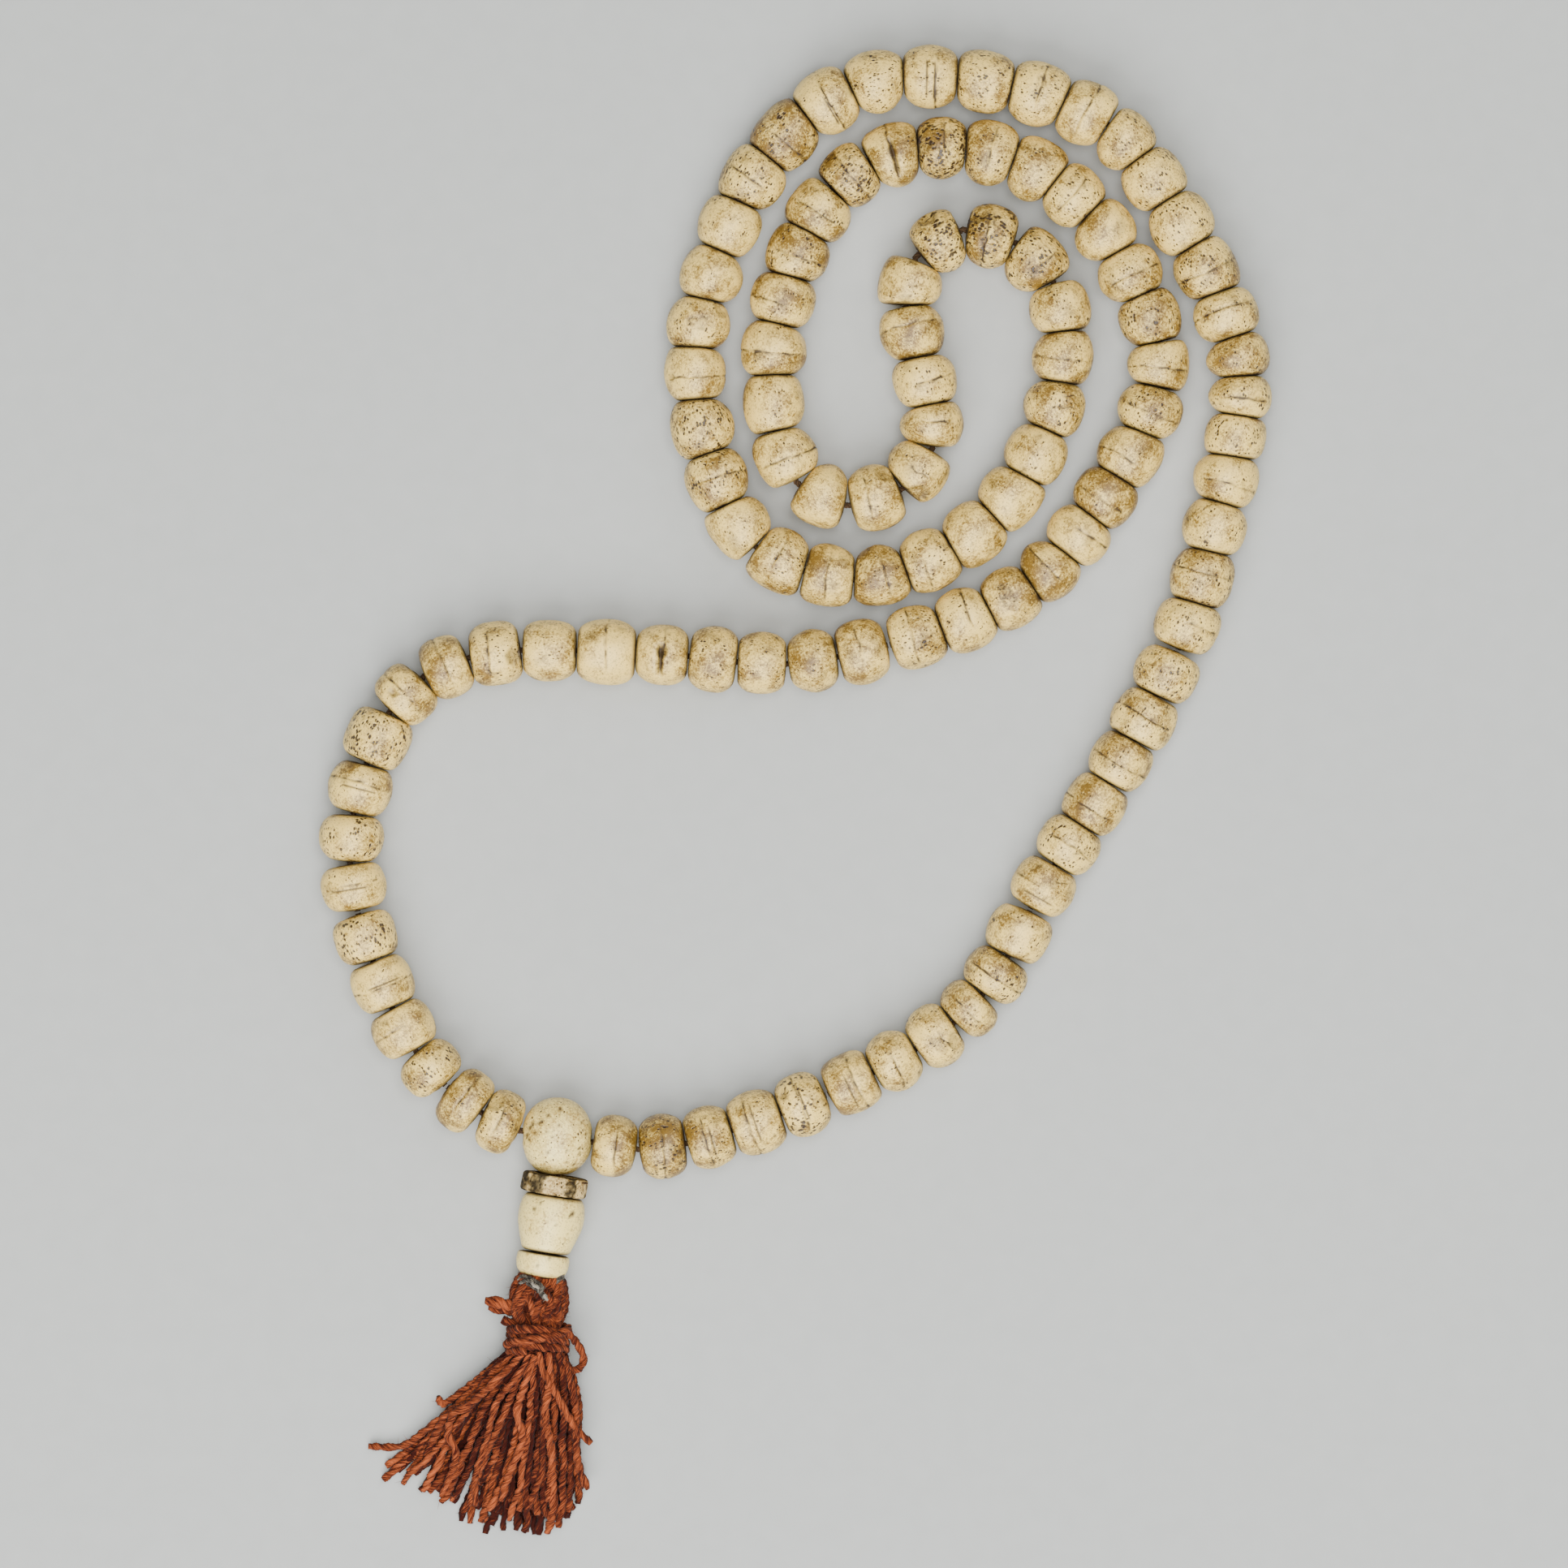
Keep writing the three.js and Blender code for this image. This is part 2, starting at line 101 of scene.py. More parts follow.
def strand_point(number):
    """The cord's point at a bead number, in millimetres: a smooth curve through the lay's points."""
    last = len(LAY_NUMBERS) - 2
    i = next((i for i in range(last + 1) if LAY_NUMBERS[i + 1] >= number), last)
    t = (number - LAY_NUMBERS[i]) / (LAY_NUMBERS[i + 1] - LAY_NUMBERS[i])
    b, c = np.array(LAY_POINTS[i]), np.array(LAY_POINTS[i + 1])
    a = np.array(LAY_POINTS[i - 1]) if i > 0 else 2 * b - c
    d = np.array(LAY_POINTS[i + 2]) if i < last else 2 * c - b
    curve = 2 * b + (c - a) * t + (2 * a - 5 * b + 4 * c - d) * t**2
    x, y = 0.5 * (curve + (3 * b - a - 3 * c + d) * t**3)
    return Vector((x, y, CORD_HEIGHT))


def bead_axis(number):
    return (strand_point(number + 0.5) - strand_point(number - 0.5)).normalized()


GURU_AXIS = Vector((math.cos(GURU_SIDE_TILT), math.sin(GURU_SIDE_TILT), 0))


def bend_at(joint):
    """The signed angle by which the strand turns at a joint between two beads, seen from above."""
    before = bead_axis(joint - 0.5) if joint > 1 else GURU_AXIS
    after = bead_axis(joint + 0.5) if joint < BEAD_COUNT else GURU_AXIS
    return before.to_2d().angle_signed(after.to_2d()) * -1


# The coil's first and last bead, and how many of its beads the CAD joins into one run.
COIL = (18, 88)
COIL_RUN = 9


def is_free(number):
    return not COIL[0] <= number <= COIL[1]


def body_of_bead(number):
    return f"bead_{number:03d}" if is_free(number) else "coil"


def cad_node_of_bead(number):
    if is_free(number):
        return f"bead_{number:03d}"
    first = number - (number - COIL[0]) % COIL_RUN
    return f"coil_beads_{first:03d}_{min(first + COIL_RUN - 1, COIL[1]):03d}"


# ---- Mesh helpers ----


def mesh_object(name, vertices, faces, attributes=None):
    """A smooth mesh object from points in millimetres. Attributes are floats or vectors, one for
    each point."""
    mesh = bpy.data.meshes.new(name)
    mesh.from_pydata((np.asarray(vertices) * MM).tolist(), [], faces)
    for key, values in (attributes or {}).items():
        values = np.asarray(values, np.float32)
        kind, field = ("FLOAT_VECTOR", "vector") if values.ndim == 2 else ("FLOAT", "value")
        mesh.attributes.new(key, kind, "POINT").data.foreach_set(field, values.ravel())
    mesh.shade_smooth()
    mesh.update()
    made = bpy.data.objects.new(name, mesh)
    bpy.context.scene.collection.objects.link(made)
    return made


def field(points, wavelength, rng, waves=14):
    """Smooth random patches of about that wavelength, from -1 to 1 or a little past it."""
    total = np.zeros(points.shape[:-1])
    for _ in range(waves):
        direction = rng.normal(size=3)
        direction *= 2 * math.pi / wavelength / np.linalg.norm(direction) * rng.uniform(0.6, 1.4)
        total += np.sin(points @ direction + rng.uniform(0, 2 * math.pi))
    return total / math.sqrt(waves)


def bump(distance, width):
    return np.exp(-((distance / width) ** 2))


def step(value, low, high):
    t = np.clip((value - low) / (high - low), 0, 1)
    return t * t * (3 - 2 * t)


def circle_faces(rings, segments, closed=True):
    """Quads of a tube whose rings lie one after another. A closed tube has its last ring joined to
    its first."""
    faces = []
    for ring in range(rings if closed else rings - 1):
        start, after = ring * segments, (ring + 1) % rings * segments
        for i in range(segments):
            j = (i + 1) % segments
            faces.append((start + i, start + j, after + j, after + i))
    return faces


# ---- Bone pieces ----

BEAD_SEGMENTS = 72
POLE_RADIUS = 0.04


def bead_outline(length, radius, face, slopes, fullness, marks=()):
    """A turned barrel's outline, from the middle of its bore round to it again, as rows of (along,
    out, side). Side is 1 on the outside and 0 in the bore. Each face is a shallow cone, which falls
    back from the hole by its slope. Extra rings stand where a line is cut into the surface."""
    low, high = slopes[0] * face - length / 2, length / 2 - slopes[1] * face
    middle, half = (low + high) / 2, (high - low) / 2
    share = set(np.round(np.sin(np.linspace(-math.pi / 2, math.pi / 2, 27)), 4))
    for mark in marks:
        near = ((mark + d - middle) / half for d in (-0.34, -0.2, -0.1, 0, 0.1, 0.2, 0.34))
        share |= {round(x, 4) for x in near if abs(x) < 0.93}
    side = [
        (middle + half * x, face + (radius - face) * (1 - abs(x) ** fullness) ** (1 / fullness), 1.0)
        for x in sorted(share)
    ]

    def cone(sign, slope):
        rows = [(BORE_RADIUS, 0.0, 0.25), (BORE_RADIUS + 0.28, 0.2, 0.03)]
        rows += [((BORE_RADIUS + face) / 2, 0.5, 0.0), (face - 0.3, 0.8, 0.0)]
        return [(sign * (length / 2 - slope * out - inset), out, outside) for out, outside, inset in rows]

    return np.array([(0, BORE_RADIUS, 0), *cone(-1, slopes[0]), *side, *reversed(cone(1, slopes[1]))])


def turned_place(axis, centre):
    """Where a turned piece goes: its own x axis along the given one, and its angle 0 at the top."""
    sideways = axis.cross(Vector((0, 0, 1)))
    place = Matrix.Identity(4)
    for row in range(3):
        place[row][0], place[row][1] = axis[row], sideways[row]
        place[row][3] = centre[row]
    return place


def bone_piece(name, outline, place, wear, segments=BEAD_SEGMENTS):
    """Turns an outline about its own axis, wears it, and puts it in place. An outline that doesn't
    reach its axis is joined up along its bore. wear(along, angle, out, side, points) gives what to
    add to the radius and to the place along the axis, then the tone from cream 0 to tan 1, the stain
    from clean 0 to dark 1, and how porous it is. Angle 0 is the top."""
    rings = len(outline)
    angle = np.tile(np.arange(segments) * 2 * math.pi / segments, (rings, 1))
    along, out, side = (np.tile(outline[:, [k]], (1, segments)) for k in range(3))
    points = np.stack([along, out * np.sin(angle), out * np.cos(angle)], axis=-1)
    more_out, more_along, tone, stain, pores = wear(along, angle, out, side, points)
    out = np.maximum(out + more_out, np.minimum(out, BORE_RADIUS * 0.9))
    along = along + more_along
    local = np.stack([along, out * np.sin(angle), out * np.cos(angle)], axis=-1).reshape(-1, 3)
    world = np.array([list(place @ Vector(p)) for p in local])
    # how near each point lies to an end, from which the material paints a brown rim of stain and painted
    # shade
    ends = np.abs(outline[:, [0]]) / np.abs(outline[:, 0]).max() * np.ones((1, segments))
    bored = outline[0][1] > POLE_RADIUS
    if not bored:
        # a rounded end has no brown rim of stain and painted shade
        ends[outline[:, 0] < 0] = 0
    # each piece has its pores and patches from another place in the bone
    shift = np.array([sum(map(ord, name)) % 97 * 11.3, len(name) * 7.7, 0])
    attributes = {
        "bone_place": points.reshape(-1, 3) + shift,
        "bone_tone": np.clip(tone, 0, 1).ravel(),
        "bone_stain": np.clip(stain, 0, 1).ravel(),
        "bone_pores": np.clip(pores, 0, 1.5).ravel(),
        "bone_end": ends.ravel(),
    }
    faces = circle_faces(rings, segments, closed=bored)
    if not bored:
        faces.append(tuple(reversed(range(segments))))
        faces.append(tuple((rings - 1) * segments + i for i in range(segments)))
    return mesh_object(name, world, faces, attributes)


# What is special about single beads: the tone from cream 0 to brown 1, and how porous the bone is.
TONES = {
    1: 0.6, 2: 0.9, 12: 0.4, 24: 0.85, 33: 0.3, 36: 0.75, 42: 0.5, 47: 0.75, 56: 0.75, 71: 0.6,
    72: 0.5, 73: 0.6, 79: 0.6, 83: 0.8, 84: 0.08, 85: 0.78, 94: 0.05, 95: 0.3, 99: 0.2, 102: 0.15,
    108: 0.35,
}
PORES = {
    2: 1.0, 5: 1.2, 36: 1.0, 37: 1.0, 42: 1.1, 55: 1.1, 56: 1.5, 57: 1.4, 71: 1.2, 73: 1.5,
    79: 1.0, 84: 0.1, 94: 0.1, 99: 1.2, 101: 1.0, 103: 1.1,
}

# Marks of single beads: kind, place along as a share of the half length towards the next bead, angle
# in degrees from the top to the right of the way to the next bead, and size in millimetres.
MARKS = {
    2: [("pit", 0.72, 14, 0.55), ("pit", 0.7, 42, 0.35)],
    3: [("line", 0.1, 10, 1.1)],
    4: [("line", -0.05, 0, 1.4), ("pit", 0.5, 40, 0.3)],
    5: [("line", 0.0, -5, 1.3), ("hole", -0.62, -38, 0.7)],
    6: [("line", -0.1, 15, 1.2)],
    8: [("chip", 0.6, 32, 1.0), ("crack", 0.25, 18, 0.9)],
    10: [("line", -0.1, -38, 0.9)],
    12: [("line", -0.45, 0, 1.2), ("crack", 0.5, 28, 0.7)],
    31: [("oval", 0.0, 5, 1.4)],
    33: [("line", -0.15, -12, 1.3), ("line", 0.15, -8, 1.3), ("pores", 0.0, 22, 0.8)],
    35: [("line", 0.1, -22, 1.1)],
    40: [("oval", 0.0, -8, 1.4), ("chip", -0.7, -50, 1.0)],
    41: [("hole", 0.1, 52, 0.55)],
    42: [("pores", -0.3, 35, 1.1)],
    52: [("crack", 0.05, 24, 1.0), ("crack", 0.5, 26, 0.7)],
    55: [("pores", 0.2, -10, 0.9)],
    56: [("pores", 0.0, 0, 1.6), ("chip", 0.6, 38, 1.2)],
    57: [("pores", 0.0, 18, 1.3), ("chip", 0.0, 60, 1.2)],
    62: [("chip", 0.7, -40, 1.2), ("crack", 0.1, -10, 1.0)],
    63: [("chip", -0.6, 45, 1.3)],
    72: [("split", 0.0, 5, 1.6)],
    73: [("chip", -0.75, -5, 1.0), ("pores", 0.2, 10, 1.3)],
    79: [("pores", 0.1, 45, 1.6)],
    86: [("oval", 0.1, 0, 1.5)],
    93: [("split", 0.05, -12, 1.3), ("hole", 0.0, 8, 0.8)],
    96: [("hole", -0.7, -12, 1.0)],
    98: [("hole", 0.3, 20, 0.6)],
    100: [("line", 0.0, 0, 1.2)],
    102: [("line", 0.05, 5, 1.2)],
    104: [("line", 0.0, -5, 1.2)],
    108: [("chip", -0.55, -35, 1.1), ("pit", 0.75, 0, 0.3)],
}


# How uneven a bead is: the size of its humps and hollows, and their depth, in millimetres.
UNEVENNESS = ((9, 0.07), (3.5, 0.035), (1.3, 0.012))


def bead_wear(number, length, tilts):
    """How one counting bead is worn: out of round, a line round its girth, pits, pores, stains and
    slanting faces. Gives its wear, and where its girth line is along it, if it has one."""
    rng = np.random.default_rng(4100 + number)
    base = TONES.get(number, rng.uniform(0.15, 0.6))
    girth = rng.uniform(-0.3, 0.3) * length / 2
    has_girth = rng.random() < 0.62 or any(m[0] == "line" for m in MARKS.get(number, ()))
    girth_depth = rng.uniform(0.06, 0.14)
    girth_middle, girth_reach = rng.uniform(-0.7, 0.7), rng.uniform(0.7, 1.8)
    ridge = rng.uniform(-0.12, 0.12)
    two_tone = rng.choice([-1, 1]) * rng.uniform(0.1, 0.42)
    porous = PORES.get(number, rng.uniform(0.3, 0.9))
    squash, squash_turn = rng.uniform(0.02, 0.1), rng.uniform(0, math.pi)
    lean = rng.uniform(-0.05, 0.05)
    pits = [
        (rng.uniform(-0.8, 0.8), rng.uniform(-1.5, 1.5), rng.uniform(0.12, 0.26))
        for _ in range(rng.integers(3, 9))
    ]

    def wear(along, angle, out, side, points):
        wobble = sum(field(points, size, rng) * depth for size, depth in UNEVENNESS)
        wobble = wobble - squash * (1 + np.cos(2 * (angle - squash_turn))) + lean * along
        more = np.minimum(wobble, 0.12) * side
        tone = base + 0.2 * field(points, 5, rng) + 0.14 * field(points, 2, rng)
        stain = 0.35 * np.clip(field(points, 3.2, rng) - 0.7, 0, 1)
        turn = (angle + math.pi) % (2 * math.pi) - math.pi
        if has_girth:
            line = girth + 0.18 * np.sin(angle * 2 + base * 9) + 0.08 * field(points, 2.2, rng)
            reach = step(girth_reach - np.abs(turn - girth_middle), 0, 0.5)
            cut = bump(along - line, 0.18) * reach * side
            edge = ridge * step(along, line - 0.1, line + 0.1) * reach * side
            more = more - girth_depth * cut + edge
            stain = stain + cut * (0.7 + 0.5 * field(points, 1.5, rng))
            tone = tone + two_tone * (0.5 - step(along, line - 0.25, line + 0.25))
        for share, where, size in pits:
            near = bump(np.hypot(along - share * length / 2, (turn - where) * out), size) * side
            more = more - 0.35 * size * near
            stain = stain + 0.8 * near
        for mark in MARKS.get(number, ()):
            cut, dark = marked(mark, along, turn, out, length, rng, points)
            more = more - cut * side
            stain = stain + dark * side
        slant = np.where(along > 0, tilts[1], tilts[0]) * out * np.sin(angle)
        more_along = slant * np.clip(np.abs(along) / (length / 2), 0, 1)
        return more, more_along, tone, stain, porous + 0.25 * field(points, 3, rng)

    return wear, girth if has_girth else None


def marked(mark, along, turn, out, length, rng, points):
    """The depth and the stain that one special mark adds."""
    kind, share, degrees, size = mark
    a = along - share * length / 2
    b = (turn - math.radians(degrees)) * out
    if kind == "line":
        cut = bump(a, 0.15) * step(2.6 * size - np.abs(b), 0, 0.8)
        return 0.1 * cut, 0.9 * cut
    if kind == "pit":
        cut = bump(np.hypot(a, b), size)
        return 0.4 * size * cut, 0.9 * cut
    if kind == "hole":
        distance = np.hypot(a, b * 0.75)
        cut = step(size - distance, 0, 0.25)
        return 0.85 * size * cut, 0.55 * cut + 0.4 * bump(distance - size, 0.15)
    if kind == "chip":
        cut = step(size - np.hypot(a, b * 0.8), 0, 0.35)
        return 0.45 * size * cut, 0.3 * cut + 0.6 * bump(np.hypot(a, b * 0.8) - size, 0.14)
    if kind == "crack":
        cut = bump(a - 0.25 * np.sin(b * 2.1), 0.11) * step(1.6 * size - np.abs(b), 0, 0.4)
        return 0.14 * cut, 1.0 * cut
    if kind == "split":
        cut = bump(a, 0.32) * step(2.2 * size - np.abs(b), 0, 1.1)
        return 0.75 * cut, 0.95 * cut
    if kind == "oval":
        rim = np.abs(np.hypot(a * 1.7, b * 0.62) - size)
        cut = bump(rim, 0.16) * step(b, -1.6, -0.6)
        inside = step(size - np.hypot(a * 1.7, b * 0.62), 0, 0.3)
        return 0.22 * cut + 0.14 * inside, 0.85 * cut + 0.2 * inside
    holes = np.clip(field(points, 0.75, rng, 24) - 0.75, 0, 1) * bump(np.hypot(a, b * 0.8), 1.5 * size)
    return 0.5 * holes, 2.2 * holes


def face_shape(joint):
    """How a bead's face leaves room for its neighbour where the strand bends and folds: its slant to
    the inside of the bend, the slope by which it falls back from its hole, and how far the whole face
    is drawn back. A free bead turns, so it has no slant."""
    fold = FOLD_ANGLE if joint in FOLD_GAPS else 0
    share = 0.5 if 1 < joint < BEAD_COUNT else 1
    angle = (abs(bend_at(joint)) + fold) * share
    inside_coil = COIL[0] < joint < COIL[1]
    slant = min(angle, WORN_SLANT) if inside_coil else 0
    slope = min(angle - slant, WORN_SLOPE) if inside_coil else angle - slant
    back = FACE_GAP / 2 + FACE_RADIUS * math.tan(angle - slant - slope)
    return math.copysign(math.tan(slant), bend_at(joint)), math.tan(slope), back


def worn_tilt(joint):
    """How far two beads of the coil have worn each other's faces out of square, as their slope."""
    return WORN_TILT * math.sin(joint * 2.4) if COIL[0] < joint < COIL[1] else 0


def counting_bead(number):
    axis = bead_axis(number)
    start, end = strand_point(number - 0.5), strand_point(number + 0.5)
    (start_slant, start_slope, start_back), (end_slant, end_slope, end_back) = (
        face_shape(number + side) for side in (-0.5, 0.5)
    )
    tilts = (worn_tilt(number - 0.5) - start_slant, worn_tilt(number + 0.5) + end_slant)
    slopes = (start_slope, end_slope)
    start, end = start + axis * start_back, end - axis * end_back
    rng = random.Random(900 + number)
    length = (end - start).length
    radius = BEAD_RADIUS * rng.uniform(0.955, 1.015)
    steep = max(start_slope, end_slope) > STEEP
    face = FACE_RADIUS * (rng.uniform(0.6, 0.66) if steep else rng.uniform(0.58, 0.84))
    fullness = rng.uniform(1.85, 2.25) + (0.5 if steep else 0)
    wear, line = bead_wear(number, length, tilts)
    place = turned_place(axis, (start + end) / 2)
    marks = [line] if line is not None else []
    marks += [m[1] * length / 2 for m in MARKS.get(number, ()) if m[0] != "pores"]
    outline = bead_outline(length, radius, face, slopes, fullness, marks)
    piece = bone_piece(f"bone_bead_{number:03d}", outline, place, wear)
    finish_piece(piece, body_of_bead(number), "bone", TURNED_BONE, cad_node_of_bead(number))


def finish_piece(piece, body, slot, material, *nodes):
    piece.data.materials.append(material)
    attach(piece, body)
    if nodes:
        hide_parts(*nodes)
    return piece


# ---- Materials ----


def linear(code):
    """An sRGB hex colour as linear red, green, blue and alpha."""
    parts = [int(code[i : i + 2], 16) / 255 for i in (1, 3, 5)]
    return [c / 12.92 if c <= 0.04045 else ((c + 0.055) / 1.055) ** 2.4 for c in parts] + [1]


def add(tree, kind, links=(), out=0, **settings):
    """Adds one node and gives the output asked for. Settings are its own properties. Links are its
    inputs in order, or by name or number, each a value, an sRGB hex colour or another output."""
    node = tree.nodes.new(kind)
    for key, value in settings.items():
        setattr(node, key, value)
    for key, value in links.items() if isinstance(links, dict) else enumerate(links):
        if isinstance(value, bpy.types.NodeSocket):
            tree.links.new(value, node.inputs[key])
        else:
            node.inputs[key].default_value = linear(value) if isinstance(value, str) else value
    return node.outputs[out] if node.outputs else None


ATTRIBUTE = "ShaderNodeAttribute"
NOISE = "ShaderNodeTexNoise"
CELLS = "ShaderNodeTexVoronoi"
MAPPING = "ShaderNodeMapping"
MATH = "ShaderNodeMath"
RANGE = "ShaderNodeMapRange"
MIX = "ShaderNodeMix"
BUMP = "ShaderNodeBump"
SURFACE = "ShaderNodeBsdfPrincipled"
OUTPUT = "ShaderNodeOutputMaterial"
# The numbers of a colour mix's two inputs and of its output.
FIRST, SECOND, MIXED = 6, 7, 2


def new_material(name):
    material = bpy.data.materials.new(name)
    material.use_nodes = True
    material.node_tree.nodes.clear()
    return material, material.node_tree


# How many of each there are to a millimetre of bone: patches of 2 to 4 mm, mottles of 0.4 mm, crowds
# of pores 1 mm across, pores of 0.15 to 0.3 mm, and specks of 0.1 mm, drawn as coarse as they show.
PATCHES_PER_MM = 0.34
MOTTLES_PER_MM = 2.6
CROWDS_PER_MM = 0.9
PORES_PER_MM = 1.3
SPECKS_PER_MM = 2.5


def bone_material(name, cream, tan, brown, rough, gloss=0.5):
    """Bone turned on a lathe and rubbed smooth by hands. The eye sees cream and tan patches, fine
    brown pores that run with the bone's grain, a darker rim of brown stain and painted shade at each
    end, and a soft broad sheen."""
    material, tree = new_material(name)
    place = add(tree, ATTRIBUTE, out="Vector", attribute_name="bone_place")
    tone, stain, end, porous = (
        add(tree, ATTRIBUTE, out="Fac", attribute_name=f"bone_{what}")
        for what in ("tone", "stain", "end", "pores")
    )

    patches = {"Vector": place, "Scale": PATCHES_PER_MM, "Detail": 4.0, "Roughness": 0.6}
    spread = add(tree, RANGE, [add(tree, NOISE, patches), 0.35, 0.68, -0.42, 0.42])
    mottles = {"Vector": place, "Scale": MOTTLES_PER_MM, "Detail": 5.0, "Roughness": 0.8}
    mottling = add(tree, NOISE, mottles)
    grain = add(tree, RANGE, [mottling, 0.32, 0.68, -0.75, 0.75])
    share = add(tree, MATH, [add(tree, MATH, [tone, spread]), grain], use_clamp=True)
    base = add(tree, MIX, {"Factor": share, FIRST: cream, SECOND: tan}, MIXED, data_type="RGBA")

    # pores are longer along the grain, crowded in some places and absent in others
    stretched = add(tree, MAPPING, {"Vector": place, "Scale": (1.0, 1.5, 1.5)})
    pores = add(tree, CELLS, {"Vector": stretched, "Scale": PORES_PER_MM, "Randomness": 1.0})
    crowds = add(tree, NOISE, {"Vector": place, "Scale": CROWDS_PER_MM, "Detail": 3.0})
    crowd = add(tree, RANGE, [crowds, 0.34, 0.6])
    crowded = add(tree, MATH, [crowd, porous], operation="MULTIPLY")
    reach = add(tree, MATH, [add(tree, MATH, [crowded, 0.44], operation="MULTIPLY"), 0.03])
    pore = add(tree, RANGE, [pores, reach, 0.0])
    specks = add(tree, CELLS, {"Vector": place, "Scale": SPECKS_PER_MM, "Randomness": 1.0})
    speck = add(tree, RANGE, [specks, 0.36, 0.2])
    where = add(tree, RANGE, [mottling, 0.42, 0.56])
    fine = add(tree, MATH, [speck, where], operation="MULTIPLY")

    # brown stain gathers at the rims of the flat ends and in every cut, and the rims also carry painted
    # shade where the pieces meet
    rim = add(tree, RANGE, [end, 0.86, 1.0])
    dark = add(tree, MATH, [stain, rim], use_clamp=True)
    sharp = add(tree, RANGE, [pore, 0.0, 0.4, 0.0, 0.95])
    dark_share = add(tree, MATH, [dark, 0.94], operation="MULTIPLY")
    fine_share = add(tree, MATH, [fine, 0.5], operation="MULTIPLY")
    colour = base
    for share in (dark_share, sharp, fine_share):
        links = {"Factor": share, FIRST: colour, SECOND: brown}
        colour = add(tree, MIX, links, MIXED, data_type="RGBA")

    raised = add(tree, MATH, [mottling, 0.5], operation="MULTIPLY")
    height = add(tree, MATH, [raised, sharp], operation="SUBTRACT")
    relief = add(tree, BUMP, {"Height": height, "Strength": 0.7, "Distance": 0.00015})
    roughness = add(tree, RANGE, [dark, 0.0, 1.0, rough, rough + 0.25])
    finish = {"Roughness": roughness, "Normal": relief, "IOR": 1.54, "Specular IOR Level": gloss}
    surface = add(tree, SURFACE, {"Base Color": colour, **finish})
    add(tree, OUTPUT, {"Surface": surface})
    return material


YARN_PATCHES_PER_MM = 0.25


def yarn_material(name, light, middle, painted_shade_colour, streaks_per_mm):
    """Spun and plied fibre. The eye sees fine streaks along each ply, painted shade between the plies
    and on each yarn's sides and underneath, and a soft fuzzy edge with no gloss."""
    material, tree = new_material(name)
    place = add(tree, ATTRIBUTE, out="Vector", attribute_name="fibre_place")
    depth = add(tree, ATTRIBUTE, out="Fac", attribute_name="fibre_painted_shade")
    tone = add(tree, ATTRIBUTE, out="Fac", attribute_name="fibre_tone")
    stretched = add(tree, MAPPING, {"Vector": place, "Scale": (0.22, 1.0, 1.0)})
    streaks = {"Vector": stretched, "Scale": streaks_per_mm, "Detail": 4.0, "Roughness": 0.65}
    fibres = add(tree, NOISE, streaks)
    lift = add(tree, RANGE, [fibres, 0.36, 0.64, -0.6, 0.6])
    patches = add(tree, NOISE, {"Vector": place, "Scale": YARN_PATCHES_PER_MM, "Detail": 2.0})
    slow = add(tree, RANGE, [patches, 0.35, 0.65, -0.2, 0.2])
    share = add(tree, MATH, [add(tree, MATH, [tone, lift]), slow], use_clamp=True)
    lit = add(tree, MIX, {"Factor": share, FIRST: middle, SECOND: light}, MIXED, data_type="RGBA")
    # painted shade: the shade attribute darkens the yarn towards its shade colour in the grooves between
    # the plies and on its sides and underneath
    colour = add(tree, MIX, {"Factor": depth, FIRST: lit, SECOND: painted_shade_colour}, MIXED, data_type="RGBA")
    relief = add(tree, BUMP, {"Height": fibres, "Strength": 0.8, "Distance": 0.00012})
    finish = {"Roughness": 0.9, "Normal": relief, "Specular IOR Level": 0.12}
    fuzz = {"Sheen Weight": 0.03, "Sheen Roughness": 0.5}
    surface = add(tree, SURFACE, {"Base Color": colour, **finish, **fuzz})
    add(tree, OUTPUT, {"Surface": surface})
    return material


# ---- Twisted yarn and cord ----


def resample(points, spacing):
    """Evenly spaced points on a smooth curve through the given ones."""
    points = np.asarray(points, float)
    before = np.vstack([2 * points[0] - points[1], points[:-1]])
    after = np.vstack([points[1:], 2 * points[-1] - points[-2]])
    slope = (after - before) / 2
    t = np.linspace(0, 1, 12, endpoint=False)[:, None]
    fine = []
    for p, q, m, n in zip(points, points[1:], slope, slope[1:]):
        line = (2 * t**3 - 3 * t**2 + 1) * p + (3 * t**2 - 2 * t**3) * q
        fine.append(line + (t**3 - 2 * t**2 + t) * m + (t**3 - t**2) * n)
    fine = np.vstack([*fine, points[-1:]])
    length = np.concatenate([[0], np.cumsum(np.linalg.norm(np.diff(fine, axis=0), axis=1))])
    steps = max(int(round(length[-1] / spacing)), 3)
    where = np.linspace(0, length[-1], steps + 1)
    return np.stack([np.interp(where, length, fine[:, k]) for k in range(3)], axis=1), where


def frames_along(points):
    """Tangents and two normals at each point, carried along without twist."""
    tangent = np.gradient(points, axis=0)
    tangent /= np.linalg.norm(tangent, axis=1, keepdims=True)
    start = np.cross(tangent[0], [0, 0, 1.0] if abs(tangent[0][2]) < 0.9 else [1.0, 0, 0])
    normal = np.zeros_like(points)
    normal[0] = start / np.linalg.norm(start)
    for i in range(1, len(points)):
        flat = normal[i - 1] - tangent[i] * np.dot(normal[i - 1], tangent[i])
        normal[i] = flat / np.linalg.norm(flat)
    return tangent, normal, np.cross(tangent, normal)


